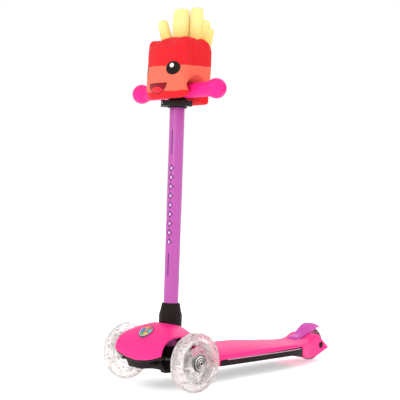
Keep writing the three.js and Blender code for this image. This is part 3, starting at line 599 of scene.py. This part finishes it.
# %% Hood and neck
def hood_surface(inset=0.0, reach=72.0, drop=0.0):
    def place(u, v):
        x = (2 * u - 1) * reach
        out = (x / 72) ** 2
        rim = 60 + 14.5 * out
        nose = -66 + 5 * out + inset
        crown_y = 8 - 29 * out
        crown_z = 130 - 21 * out - inset
        rear = 50 - inset
        if v <= 0.45:
            turn = v / 0.45 * math.pi / 2
            ahead = (crown_y - nose) * math.cos(turn)
            return (x, crown_y - ahead, rim + (crown_z - rim) * math.sin(turn))
        if v <= 0.85:
            turn = (v - 0.45) / 0.4 * math.pi / 2
            round_y = max(math.sin(turn), 0) ** (2 / 2.8)
            round_z = max(math.cos(turn), 0) ** (2 / 2.8)
            return (x, crown_y + (rear - crown_y) * round_y, 76 + (crown_z - 76) * round_z)
        under_way = (v - 0.85) / 0.15
        if under_way > 0.99:
            return (x, nose, rim)
        along = min(max((under_way - 0.2) / 0.6, 0), 1)
        return (x, rear + (nose - rear) * along, 76 - drop + (rim - 76 - 0.01) * along)
    return place


hood = solid_mould("front_hood", 64, 80, hood_surface())
neck = solid_mould("neck", 40, 50, deck_surface(15, 83.8, 0, 46))
combine(hood, [neck], "UNION")
hood_inside = solid_mould("cutter", 48, 80, hood_surface(3.0, 80, 40))
neck_inside = solid_mould("cutter", 30, 50, deck_surface(0, 95, 3.0, 20))
lathe("cutter", [(60, 1), (180, 1)], 64)
collar_hole = bpy.context.object
collar_hole.scale = (31, 26, 1)
collar_hole.location = (0, LEAN_Y + 1.8, 0)
settle(collar_hole)
arches = [brick((45, 90), (-34, 40), (20, 86)), brick((-90, -45), (-34, 40), (20, 86))]
combine(hood, [hood_inside, neck_inside, collar_hole, *arches])
melt(hood, 1.4, 8)
set_in_place(hood)
hand_over(hood, "deck", "pink_plastic", pink_plastic, "front_housing", angle=60)

# %% [markdown]
# ## Badge
# A small printed badge sits on the slope of the hood: a white line round six coloured fields, with
# dark lines between them. The angle about the middle picks the field, and the colours are shifted
# round inside a smaller ring.

# %% Badge material
badge_finish, tree, shader, where = new_finish("badge_print")
BADGE = (0.0, (-37 - AXLE_Y) * MM, 0.1135)
field = place_group(tree, patch, {
    "Vector": where, "Middle": BADGE, "Size": (0.0168, 0.0168, 0.0168), "Edge": 0.02})
axes = axes_of(tree, where)
across = axes[0]
along = calc(tree, "DIVIDE", calc(tree, "SUBTRACT", axes[1], BADGE[1]), 0.82)
angle = calc(tree, "ARCTAN2", across, along)
flat = add(tree, "ShaderNodeCombineXYZ", {0: across, 1: along}).outputs[0]
reach = add(tree, "ShaderNodeVectorMath", {0: flat}, operation="LENGTH").outputs["Value"]
way_round = calc(tree, "ADD", calc(tree, "DIVIDE", angle, 2 * math.pi), 0.5)
sector = calc(tree, "MULTIPLY", way_round, 6.0)
shift = calc(tree, "MULTIPLY", calc(tree, "LESS_THAN", reach, 0.0062), 2.5)
share = calc(tree, "DIVIDE", calc(tree, "MODULO", calc(tree, "ADD", sector, shift), 6.0), 6.0)
BADGE_COLOURS = ((0.03, 0.32, 0.09), (0.02, 0.13, 0.50), (0.80, 0.22, 0.02), (0.55, 0.02, 0.05),
                 (0.08, 0.40, 0.45), (0.75, 0.42, 0.03))
wheel = colour_ramp(tree, share, "CONSTANT", [(k / 6, colour) for k, colour in enumerate(BADGE_COLOURS)])
split = calc(tree, "ABSOLUTE", calc(tree, "SUBTRACT", calc(tree, "FRACT", sector), 0.5))
bars = calc(tree, "GREATER_THAN", split, 0.44)
rim = calc(tree, "LESS_THAN", calc(tree, "ABSOLUTE", calc(tree, "SUBTRACT", reach, 0.0062)), 0.0007)
edge_line = calc(tree, "GREATER_THAN", reach, 0.0140)
dark = calc(tree, "MAXIMUM", calc(tree, "MAXIMUM", bars, rim), edge_line)
fields = mixed(tree, dark, wheel, (0.03, 0.02, 0.05, 1))
rim_white = between(tree, reach, 0.0149, 0.0162)
face = mixed(tree, rim_white, fields, (0.62, 0.58, 0.60, 1))
feed(tree, mixed(tree, field["Mask"], (0.10, 0.02, 0.06, 1), face), shader.inputs["Base Color"])
steady(shader, {"Roughness": 0.25, "Coat Weight": 0.5})

# %% Badge
badge = lathe("hood_badge", [(-5, 0), (-5, 17.2), (0.2, 17.5), (1.0, 17.2), (1.3, 16.2), (1.0, 15.2),
                             (1.3, 10), (1.5, 0)], 64)
set_in_place(badge, (0, -37.5, 115.3), Matrix.Rotation(math.radians(35), 3, "X"))
hand_over(badge, "deck", "pink_plastic", badge_finish)


# %% [markdown]
# ## Wheels
# A wheel is a soft tyre on a spoked core. The tyre and core are turned on the lathe, and a rounded
# window is spun up at each of five places round the axle and carved out of the core.


# %% Tyre, core and window
def tyre_outline(radius, bore):
    crown = [(11.4 * math.sin(a), radius - 6.5 + 6.5 * max(math.cos(a), 0) ** 0.75)
             for a in [math.radians(d) for d in range(-84, 85, 14)]]
    side = [(12, radius - 8.5), (11.9, radius - 12), (11.2, bore)]
    return [*[(-a, r) for a, r in reversed(side)], *crown, *side, (-11.2, bore)]


def window_cutter(inner, outer, angle, turn):
    bpy.ops.object.select_all(action="DESELECT")
    bpy.ops.mesh.primitive_plane_add(size=1)
    cutter = named("cutter")
    bpy.ops.object.mode_set(mode="EDIT")
    bpy.ops.mesh.select_all(action="SELECT")
    bpy.ops.transform.resize(value=(outer - inner, 1, 1), center_override=(0, 0, 0))
    bpy.ops.transform.rotate(value=math.pi / 2, orient_axis="X", center_override=(0, 0, 0))
    bpy.ops.transform.resize(value=(1, 1, 60), center_override=(0, 0, 0))
    bpy.ops.transform.translate(value=((outer + inner) / 2, 0, 0))
    bpy.ops.mesh.spin(steps=10, angle=angle, center=(0, 0, 0), axis=(0, 0, 1))
    close_up(0.001)
    finish_modifier(cutter, "BEVEL", width=3.5, segments=4, limit_method="ANGLE", angle_limit=1.0)
    cutter.rotation_euler = (0, 0, turn)
    return settle(cutter)


def core(name, outer, rim, hub, web):
    piece = lathe(name, [
        (-11.5, outer), (-11.5, rim + 1), (-web, rim), (-web, hub), (-10.6, hub - 1.2),
        (-11.5, hub - 3), (-11.5, 11.3), (11.5, 11.3), (11.5, hub - 3), (10.6, hub - 1.2),
        (web, hub), (web, rim), (11.5, rim + 1), (11.5, outer), (-11.5, outer)], 80)
    angle = 2 * math.pi / 5
    combine(piece, [window_cutter(hub + 1.2, rim - 0.6, angle * 0.66, k * angle) for k in range(5)])
    finish_modifier(piece, "BEVEL", width=0.5, segments=2, limit_method="ANGLE", angle_limit=0.6)
    return piece


# %% Front wheels, left and right
for side, sign in (("left", 1), ("right", -1)):
    turn = (UPRIGHT if sign > 0 else Matrix.Rotation(math.pi, 3, "Z")) @ LIE_ALONG_X
    hub_place = (sign * 105, 0, HUB_Z)
    ring = lathe(f"front_tyre_ring_{side}", tyre_outline(60, 43.4), 96)
    set_in_place(ring, hub_place, turn)
    hand_over(ring, f"wheel_{side}", "clear_plastic", clear_tyre, f"front_tyre_{side}", angle=50)
    spokes = core(f"front_spokes_{side}", 43.1, 39.2, 26.2, 6.5)
    set_in_place(spokes, hub_place, turn)
    hand_over(spokes, f"wheel_{side}", "clear_plastic", clear_core, f"front_core_{side}", angle=30)
    cap = lathe(f"hub_cover_{side}", [
        (16.9, 0), (16.9, 7), (12.3, 7), (12.3, 18.1), (12.8, 18.5), (13.6, 18.5), (14.2, 17.6),
        (14.2, 16.6), (13.2, 16.2), (13.2, 15.4), (15.4, 15.0), (16.2, 14.4), (16.4, 12.0),
        (15.2, 11.6), (15.2, 10.8), (17.2, 10.4), (17.6, 9.8), (17.8, 7.2), (16.6, 6.8),
        (16.6, 6.0), (18.7, 5.4), (18.9, 4.8), (18.9, 3.2), (17.4, 2.9), (17.4, 0)], 64)
    set_in_place(cap, hub_place, turn)
    hand_over(cap, f"wheel_{side}", "chrome", cap_metal, f"hub_cap_{side}", angle=25)

# %% Rear wheel
# The rear tyre and core wear the copy of the clear plastic with painted shade.
ring = lathe("rear_tyre_ring", tyre_outline(38, 25.4), 80)
set_in_place(ring, (0, *REAR_AXLE), LIE_ALONG_X)
hand_over(ring, "wheel_rear", "clear_plastic", rear_clear_painted_shade, "rear_tyre", angle=50)
spokes = core("rear_spokes", 25.1, 22.2, 15.2, 6.5)
set_in_place(spokes, (0, *REAR_AXLE), LIE_ALONG_X)
hand_over(spokes, "wheel_rear", "clear_plastic", rear_clear_painted_shade, "rear_core", angle=30)

# %% [markdown]
# ## Fender brake
# The purple fender is one thin moulding that arches over the rear wheel, with ribs for the heel
# and a thin fin behind. Each cross-section runs from one cheek over the flat top to the other.


# %% Fender
def curve_through(points):
    ys = through(*[(k, y) for k, (y, z) in enumerate(points)])
    zs = through(*[(k, z) for k, (y, z) in enumerate(points)])
    return lambda t: (ys(t * (len(points) - 1)), zs(t * (len(points) - 1)))


fender_top = curve_through([
    (403.4, 50), (403.6, 56), (407, 59.6), (413, 61), (420, 62.4), (428, 66), (436, 71.9),
    (446, 79.4), (458, 84.8), (472, 85), (485, 80.5), (497, 73.9)])
fender_low = curve_through([
    (404.4, 49.2), (406, 48.7), (409, 48.3), (414, 48.5), (421, 49.8), (430, 52.6), (440, 57.6),
    (450, 64), (460, 68.5), (472, 73), (484, 75.8), (496, 72.9)])


def fender_surface(u, v):
    turn = math.pi * v
    across = math.copysign(abs(math.cos(turn)) ** 0.45, math.cos(turn))
    lift = max(math.sin(turn), 0) ** 0.45
    top_y, top_z = fender_top(u)
    low_y, low_z = fender_low(u)
    fade = min(max((0.84 - u) / 0.05, 0), 1) * min(max((u - 0.48) / 0.05, 0), 1)
    rib = 0.9 * fade * max(math.sin(u * 140), 0) * (1 if abs(across) < 0.84 else 0)
    narrow = 1 - 0.5 * max(u - 0.8, 0) / 0.2
    height = low_z + (top_z - low_z) * lift + rib - 0.3
    return (15.9 * across * narrow, low_y + (top_y - low_y) * lift, height)


fender = mould("heel_fender", 180, 48, fender_surface)
edit_all(fender, bpy.ops.mesh.remove_doubles, threshold=0.001)
edit_all(fender, bpy.ops.mesh.normals_make_consistent, inside=False)
top_face = max(fender.data.polygons, key=lambda face: face.center.z)
if top_face.normal.z < 0:
    fender.data.flip_normals()
finish_modifier(fender, "SOLIDIFY", thickness=2.2, offset=-1.0)
set_in_place(fender)
hand_over(fender, "brake", "purple_plastic", purple_plastic, "brake_fender", angle=40)

# %% [markdown]
# ## Stem and collar
# The outer stem is a painted steel tube. It is printed with a row of plain marks down its front,
# which is a mask over the paint. The collar is a black moulding with flats round it.

# %% Painted tube with its printed marks
purple_paint, tree, shader, where = new_finish("purple_paint")
look = place_group(tree, moulded, {
    "Vector": where, "Colour": (0.46, 0.082, 0.375, 1), "Cloud": 0.2, "Grain": 700.0, "Gloss": 0.36,
    "Scuff": 0.1})
axes = axes_of(tree, where)
height = axes[2]
axis_y = calc(tree, "MULTIPLY_ADD", height, SLOPE)
axis_y.node.inputs[2].default_value = (LEAN_Y - AXLE_Y - LEAN_Z * SLOPE) * MM
front = calc(tree, "LESS_THAN", calc(tree, "SUBTRACT", axes[1], axis_y), -0.008)
off_line = calc(tree, "ABSOLUTE", calc(tree, "SUBTRACT", axes[0], 0.004))


def band(low, high):
    return between(tree, height, low, high)


step = calc(tree, "FRACT", calc(tree, "DIVIDE", height, 0.019))
spread = calc(tree, "ABSOLUTE", calc(tree, "SUBTRACT", step, 0.5))
diamond = calc(tree, "ADD", calc(tree, "DIVIDE", off_line, 0.0062), calc(tree, "DIVIDE", spread, 0.42))
marks = calc(tree, "MULTIPLY", calc(tree, "LESS_THAN", diamond, 1.0), band(0.29, 0.455))
hollow = calc(tree, "MULTIPLY", calc(tree, "LESS_THAN", diamond, 0.55), band(0.29, 0.455))
line = calc(tree, "LESS_THAN", off_line, 0.0011)
lines = calc(tree, "MULTIPLY", line, calc(tree, "ADD", band(0.475, 0.525), band(0.225, 0.272)))
printed = calc(tree, "MULTIPLY", calc(tree, "ADD", marks, lines, clamp=True), front)
paint = mixed(tree, printed, look["Colour"], (0.055, 0.012, 0.11, 1))
inlay = calc(tree, "MULTIPLY", hollow, front)
feed(tree, mixed(tree, inlay, paint, (0.75, 0.35, 0.66, 1)), shader.inputs["Base Color"])
feed(tree, look["Roughness"], shader.inputs["Roughness"])
feed(tree, bump(tree, look["Height"], 0.05), shader.inputs["Normal"])
steady(shader, {"Specular IOR Level": 0.35, "Coat Weight": 0.08, "Coat Roughness": 0.15})

# %% Outer stem
tube = lathe("stem_tube", [(-29.7, 14.1), (-29.7, 15.5), (496.7, 15.5), (497.3, 15.1), (497.5, 14.6),
                           (497.5, 14.1), (-29.7, 14.1)], 96)
slit = brick((-0.9, 0.9), (-20, -5), (461.5, 510))
combine(tube, [slit])
set_in_place(tube, on_stem(0), TILT @ Matrix.Rotation(-math.pi / 4, 3, "Z"))
hand_over(tube, "tbar", "purple_paint", purple_paint, "outer_stem", angle=40)

# %% Collar at the foot of the stem
collar = lathe("stem_foot_collar", [
    (28, 16.0), (28, 24.2), (50, 24.4), (53, 24.1), (56, 23.1), (60, 22), (73, 19.6), (75, 19.1),
    (76, 18.2), (76, 16.0), (28, 16.0)], 14)
finish_modifier(collar, "BEVEL", width=0.5, segments=2, limit_method="ANGLE", angle_limit=0.2)
set_in_place(collar, on_stem(0), TILT)
hand_over(collar, "tbar", "black_plastic", black_plastic, "stem_collar", angle=12)


# %% [markdown]
# ## Mechanical parts that keep their measured shape
# The clamp, the black under-parts and the T joint are already right in the frame. A copy of each
# is joined up and its hard edges get the small rounding that a moulding or casting has.


# %% Rounded copies of measured parts
def measured_copy(node, name):
    piece = nodes[node].copy()
    piece.data = nodes[node].data.copy()
    piece.name = piece.data.name = name
    for key in list(piece.keys()):
        del piece[key]
    piece.parent = None
    scene.collection.objects.link(piece)
    edit_all(piece, bpy.ops.mesh.remove_doubles, threshold=0.00001)
    return piece


def rounded_copy(node, name, width, body, slot, material):
    piece = measured_copy(node, name)
    edit_all(piece, bpy.ops.mesh.dissolve_limited, angle_limit=math.radians(1))
    finish_modifier(piece, "BEVEL", width=width * MM, segments=3, limit_method="ANGLE",
                    angle_limit=math.radians(35))
    hand_over(piece, body, slot, material, node)
    return piece


for node, name, width, body, material in (
        ("clamp_collar", "clamp_hoop", 0.9, "tbar", black_plastic),
        ("clamp_lever", "clamp_handle", 1.4, "lever", glossy_black),
        ("stem_joint", "bar_joint", 0.6, "handlebar", black_plastic),
        ("deck_base", "deck_floor", 0.8, "deck", black_plastic),
        ("knuckle_left", "steering_knuckle_left", 0.6, "knuckle_left", black_plastic),
        ("knuckle_right", "steering_knuckle_right", 0.6, "knuckle_right", black_plastic)):
    rounded_copy(node, name, width, body, "black_plastic", material)

# %% [markdown]
# The floor under the hood has a chin that sweeps up and back towards the wheels, like a boat's
# bow, a thin lip that follows the hood's lower edge, and a foot under each steering knuckle. The
# measured floor is square, so the lip and feet are joined to its copy, the whole is remade with
# even faces, and its front is bent.

# %% Steering floor with its swept chin
floor_part = rounded_copy("front_base", "steering_floor", 0.6, "deck", "black_plastic", black_plastic)
floor_part.parent = None


def lip_surface(u, v):
    x = (2 * u - 1) * 70
    out = (x / 72) ** 2
    rim = 60 + 14.5 * out
    nose = -66 + 5 * out
    corners = ((nose + 1.5, rim + 0.3), (nose + 3.5, rim - 4.5), (nose + 15, rim - 6.5),
               (nose + 15, rim + 0.3), (nose + 1.5, rim + 0.3))
    k = min(int(v * 4), 3)
    (y0, z0), (y1, z1) = corners[k], corners[k + 1]
    return (x, y0 + (y1 - y0) * (v * 4 - k), z0 + (z1 - z0) * (v * 4 - k))


lip = solid_mould("lip", 40, 16, lip_surface)
feet = [brick((42, 59), (-36, 12), (36.5, 46)), brick((-59, -42), (-36, 12), (36.5, 46))]
for extra in (lip, *feet):
    set_in_place(extra)
combine(floor_part, [lip, *feet], "UNION")
melt(floor_part, 0.0014, 3)
for vertex in floor_part.data.vertices:
    ahead = min(max((-0.038 - (vertex.co.y + AXLE_Y * MM)) / 0.02, 0), 1)
    ahead *= min(max((0.056 - vertex.co.z) / 0.004, 0), 1)
    out = (vertex.co.x / 0.057) ** 2
    vertex.co.z += 0.015 * ahead * out
    vertex.co.y += 0.012 * ahead * out
hand_over(floor_part, "deck", "black_plastic", black_plastic, "front_base", angle=50)

# %% [markdown]
# ## Grips
# The grips are soft rubber sleeves with a ball at the end that keeps a hand from slipping off.
# Round the sleeve runs a fine diamond knurl, which is too small to model and is a bump from two
# crossing sets of waves.

# %% Knurled rubber
pink_rubber, tree, shader, where = new_finish("pink_rubber")
look = place_group(tree, moulded, {
    "Vector": where, "Colour": (0.95, 0.008, 0.25, 1), "Cloud": 0.25, "Grain": 1500.0, "Gloss": 0.52,
    "Scuff": 0.08})
axes = axes_of(tree, where)
along = calc(tree, "ABSOLUTE", axes[0])
over_bar = calc(tree, "SUBTRACT", axes[2], BAR.z)
behind_bar = calc(tree, "SUBTRACT", axes[1], BAR.y)
round_the_bar = calc(tree, "ARCTAN2", over_bar, behind_bar)
turns = calc(tree, "MULTIPLY", round_the_bar, 18.0)
pitch = calc(tree, "MULTIPLY", along, 1700.0)
knurl = calc(tree, "MULTIPLY", calc(tree, "SINE", calc(tree, "ADD", turns, pitch)),
             calc(tree, "SINE", calc(tree, "SUBTRACT", turns, pitch)))
on_sleeve = between(tree, along, 0.05, 0.0985)
knurl = calc(tree, "MULTIPLY", calc(tree, "MAXIMUM", knurl, 0.0), on_sleeve)
relief = calc(tree, "ADD", calc(tree, "MULTIPLY", look["Height"], 0.15), knurl)
feed(tree, look["Colour"], shader.inputs["Base Color"])
feed(tree, look["Roughness"], shader.inputs["Roughness"])
feed(tree, bump(tree, relief, 0.5, 0.0006), shader.inputs["Normal"])
steady(shader, {"Specular IOR Level": 0.3})

# %% Left and right grip
BALL_RADIUS = 20.5
BALL_MIDDLE = 114.5
ball = [(BALL_MIDDLE + BALL_RADIUS * math.cos(a), BALL_RADIUS * math.sin(a))
        for a in [math.radians(d) for d in range(132, 24, -6)]]
for side, turn in (("left", UPRIGHT), ("right", Matrix.Rotation(math.pi, 3, "Z"))):
    sleeve = lathe(f"ball_grip_{side}", [
        (112.3, 0), (112.3, 11.4), (25, 11.4), (25, 13.6), (25.6, 14.8), (27, 15.2), (96, 15.2),
        (97, 16.4), (99, 16.6), *ball, (133.0, 8.0), (132.4, 7.2), (131.2, 6.4), (130.8, 0)], 64)
    set_in_place(sleeve, on_stem(BAR_ALONG), TILT @ turn @ LIE_ALONG_X)
    hand_over(sleeve, "handlebar", "pink_rubber", pink_rubber, f"grip_{side}", angle=40)

# %% [markdown]
# ## Plush box of fries
# A stuffed toy sits astride the handlebar: a padded box with a cheerful face, and a bunch of
# stuffed fries. Real padding is pressure inside cloth, so the box is puffed with a short cloth
# simulation from the measured block. Before that the block is rounded in plan, domed on top and
# given a slightly lower front edge that still lets the clamp lever pass. Afterwards it is pushed
# clear of the grips, with a fold that opens wider towards the sides.

# %% Puffed box
box = measured_copy("plush_body", "plush_box")
melt(box, 0.0035, 5)
for vertex in box.data.vertices:
    rise = vertex.co.z - BAR.z
    out = (vertex.co.x / 0.056) ** 2
    if rise > 0.06:
        lump = 0.0012 * math.cos(vertex.co.x * 130 + 0.8)
        vertex.co.z += (rise - 0.06) / 0.03 * (0.0045 * (1 - out) + 0.005 * out + lump)
    ahead = BAR.y - 0.0176 - vertex.co.y
    behind = vertex.co.y - BAR.y - 0.0176
    if ahead > 0:
        vertex.co.y += ahead * 0.52 * out
        vertex.co.x *= 1.05
    if ahead > 0 and rise < 0:
        vertex.co.x *= 1 - 0.12 * min(-rise / 0.02, 1) ** 2
    if ahead > 0.018 and rise < 0:
        forward = min((ahead - 0.018) / 0.008, 1)
        vertex.co.z -= 0.0025 * forward * min(-rise / 0.016, 1) * max(1 - 0.8 * out, 0)
    if behind > 0 and rise > 0:
        vertex.co.z += 0.004 * min(rise / 0.09, 1) ** 2
    if behind > 0:
        vertex.co.y -= behind * (0.05 if rise > 0 else 0.3) * out


def puff(piece, furthest, pressure):
    start = [vertex.co.copy() for vertex in piece.data.vertices]
    only(piece)
    cloth = piece.modifiers.new("Puff", "CLOTH")
    cloth.settings.quality = 6
    cloth.settings.use_pressure = True
    cloth.settings.uniform_pressure_force = pressure
    cloth.settings.effector_weights.gravity = 0
    for step_number in range(1, 21):
        scene.frame_set(step_number)
    bpy.ops.object.modifier_apply(modifier=cloth.name)
    scene.frame_set(1)
    moved = 0.0
    for vertex, before in zip(piece.data.vertices, start):
        shift = vertex.co - before
        moved = max(moved, shift.length)
        if shift.length > furthest:
            vertex.co = before + shift.normalized() * furthest
    print(f"{piece.name}: cloth moved up to {1000 * moved:.1f} mm, kept to {1000 * furthest:.1f}")


puff(box, 0.009, 4.0)
for vertex in box.data.vertices:
    from_bar = Vector((0, vertex.co.y - BAR.y, vertex.co.z - BAR.z))
    mouth_of_fold = min(max((abs(vertex.co.x) - 0.030) / 0.026, 0), 1) ** 1.3
    up = min(max(from_bar.z / 0.02 + 0.5, 0), 1)
    clear_of_bar = 0.0165 + (0.004 + 0.010 * up) * mouth_of_fold
    if from_bar.length < clear_of_bar:
        vertex.co += from_bar.normalized() * (clear_of_bar - from_bar.length)
finish_modifier(box, "SUBSURF", levels=1, render_levels=1)
print("box of", len(box.data.vertices), "points")

# %% [markdown]
# The box is red with a coral band round its middle, sewn with a groove where the colours meet: the
# groove is a dent in the bump and a thin line of painted shade. On the front are two round eyes and an
# open smile, embroidered in smooth thread, so the pile stops at their edges. All the shapes are masks
# in the plane of the face.

# %% Red plush with its bands and face
red_plush, tree, shader, where = new_finish("red_plush")
axes = axes_of(tree, where)
wobble = add(tree, "ShaderNodeTexNoise", {"Vector": where, "Scale": 30.0, "Detail": 2.0}).outputs["Fac"]
wave = calc(tree, "MULTIPLY", calc(tree, "SUBTRACT", wobble, 0.5), 0.006)
level = calc(tree, "ADD", axes[2], wave)
coral_band = between(tree, level, 0.603, 0.655)
cloth_colour = mixed(tree, coral_band, (0.76, 0.018, 0.026, 1), (0.93, 0.16, 0.10, 1))
fur = place_group(tree, pile, {"Vector": where, "Colour": cloth_colour, "Clumps": 0.35})
flat_map = add(tree, "ShaderNodeCombineXYZ", {0: axes[0], 1: 0.0, 2: axes[2]}).outputs[0]
is_front = calc(tree, "LESS_THAN", axes[1], BAR.y - 0.020)


def sewn(x, z, wide, high, edge=0.05):
    mask = place_group(tree, patch, {
        "Vector": flat_map, "Middle": (x, 0.0, z), "Size": (wide, 1.0, high), "Edge": edge})["Mask"]
    return calc(tree, "MULTIPLY", mask, is_front)


def seam(value, place, half):
    gap = calc(tree, "ABSOLUTE", calc(tree, "SUBTRACT", value, place))
    return calc(tree, "LESS_THAN", gap, half)


lower = calc(tree, "LESS_THAN", axes[2], 0.6200)
mouth = calc(tree, "MULTIPLY", sewn(-0.006, 0.6200, 0.0285, 0.0215), lower)
below_lip = calc(tree, "LESS_THAN", axes[2], 0.6182)
mouth_in = calc(tree, "MULTIPLY", sewn(-0.006, 0.6192, 0.0262, 0.0192), below_lip)
tongue = calc(tree, "MULTIPLY", sewn(-0.008, 0.6020, 0.0200, 0.0105), mouth_in)
eyes = calc(tree, "ADD", sewn(0.0352, 0.649, 0.0158, 0.0138),
            sewn(-0.0560, 0.649, 0.0140, 0.0138), clamp=True)
glints = calc(tree, "ADD", sewn(0.0325, 0.6545, 0.0046, 0.0042, 0.15),
              sewn(-0.0590, 0.6545, 0.0042, 0.0042, 0.15), clamp=True)
# The seam grooves are dented in the bump and darkened in the colour as painted shade.
seam_dents_and_painted_shade = calc(tree, "MAXIMUM", seam(level, 0.655, 0.0008), seam(level, 0.603, 0.0008))
colour = mixed(tree, calc(tree, "MULTIPLY", seam_dents_and_painted_shade, 0.3), fur["Colour"], (0.30, 0.004, 0.012, 1))
colour = mixed(tree, mouth, colour, (0.045, 0.002, 0.006, 1))
colour = mixed(tree, mouth_in, colour, (0.25, 0.0, 0.014, 1))
colour = mixed(tree, tongue, colour, (0.75, 0.018, 0.03, 1))
colour = mixed(tree, eyes, colour, (0.008, 0.002, 0.002, 1))
colour = mixed(tree, glints, colour, (0.88, 0.86, 0.86, 1))
feed(tree, colour, shader.inputs["Base Color"])
thread = calc(tree, "MAXIMUM", mouth, eyes)
relief = calc(tree, "MULTIPLY", fur["Height"], calc(tree, "SUBTRACT", 1.0, thread))
relief = calc(tree, "SUBTRACT", relief, calc(tree, "MULTIPLY", seam_dents_and_painted_shade, 2.0))
relief = calc(tree, "ADD", relief, calc(tree, "MULTIPLY", thread, 1.8))
feed(tree, bump(tree, relief, 0.5, 0.001), shader.inputs["Normal"])
shine = calc(tree, "SUBTRACT", 0.95, calc(tree, "MULTIPLY", thread, 0.55))
feed(tree, shine, shader.inputs["Roughness"])
steady(shader, {"Specular IOR Level": 0.15, "Sheen Weight": 0.06, "Sheen Roughness": 0.4})
hand_over(box, "handlebar", "red_plush", red_plush, "plush_body", angle=180)

# %% [markdown]
# Each fry is a stuffed bar with a blunt end. A square ring is drawn up through a few sections
# that swell a little in the middle, and a subdivision surface rounds the corners like stuffing. The
# list gives each fry's place across and fore and aft, width, top, sideways lean and twist.

# %% Yellow plush
yellow_plush, tree, shader, where = new_finish("yellow_plush")
axes = axes_of(tree, where)
# Darker orange low down, where the fries stand close together in the box, is painted shade.
low_painted_shade = add(tree, "ShaderNodeMapRange", {0: axes[2], 1: 0.700, 2: 0.745, 3: 0.85, 4: 0.0}).outputs[0]
butter_and_painted_shade = mixed(tree, low_painted_shade, (0.93, 0.76, 0.29, 1), (0.84, 0.58, 0.11, 1))
fur = place_group(tree, pile, {"Vector": where, "Colour": butter_and_painted_shade, "Clumps": 0.22})
feed(tree, fur["Colour"], shader.inputs["Base Color"])
feed(tree, bump(tree, fur["Height"], 0.4), shader.inputs["Normal"])
steady(shader, {"Roughness": 0.95, "Sheen Weight": 0.3, "Sheen Roughness": 0.4})

# %% Stuffed fries
FRIES = (
    (-29, -7, 25, 153, -0.38, 0.5), (-1, 4, 40, 172, 0.01, 0.4), (5, 25, 26, 143, 0.03, 0.7),
    (28, 20, 31, 174, 0.02, 0.45), (37, 32, 26, 149, 0.10, 0.6), (44, 34, 25, 133, 0.32, 0.8),
    (-20, 24, 29, 147, -0.10, 0.5), (12, 36, 28, 150, 0.05, 0.9), (-34, 24, 25, 126, -0.3, 0.2))
FOOT = 70
PIVOT = 102
bunch = []
for x, y, width, high, lean, spin in FRIES:
    half = width * 0.78
    fry = lathe("fry", [
        (FOOT, half * 0.8), (FOOT + 4, half * 0.96), (FOOT + 25, half),
        ((FOOT + high) / 2, half * 1.02), (high - 14, half * 0.98), (high - 6, half * 0.93),
        (high - 1.5, half * 0.78), (high, half * 0.35)], 4)
    finish_modifier(fry, "SUBSURF", levels=3, render_levels=3)
    grow = Matrix.Diagonal((1, 0.75, 1)) @ Matrix.Rotation(math.pi / 4, 3, "Z")
    twist = Matrix.Rotation((spin - 0.5) * 0.5, 3, "Z")
    fry.data.transform(Matrix.Translation((0, 0, -PIVOT)))
    fry.data.transform((Matrix.Rotation(lean, 3, "Y") @ twist @ grow).to_4x4())
    fry.data.transform(Matrix.Translation((x, y, PIVOT)))
    bunch.append(fry)
only(bunch[0])
for fry in bunch:
    fry.select_set(True)
bpy.ops.object.join()
fries = named("stuffed_fries")
set_in_place(fries, on_stem(BAR_ALONG), TILT)
hand_over(fries, "handlebar", "yellow_plush", yellow_plush, "plush_fries", angle=180)

# %% [markdown]
# ## The rest of the frame
# Bolts, bearings, springs and tubes keep their measured shape and get the finish of their slot.

# %% Finishes for the carried-over parts
FINISHES = {
    "pink_plastic": pink_plastic, "black_plastic": black_plastic, "grey_trim": grey_trim,
    "steel": steel, "spring_steel": spring_steel, "purple_paint": purple_paint,
    "purple_plastic": purple_plastic, "aluminium": drawn_aluminium, "pink_rubber": pink_rubber,
    "red_plush": red_plush, "yellow_plush": yellow_plush, "clear_plastic": clear_core,
    "chrome": cap_metal}
carried = 0
for entry in frame["record"]["subparts"]:
    part = nodes[entry["node"]]
    if part.hide_render:
        continue
    part.data.materials.clear()
    finish = dark_steel if entry["node"] == "rear_axle" else FINISHES[entry["material_slot"]]
    part.data.materials.append(finish)
    carried += 1
print("carried over:", carried)
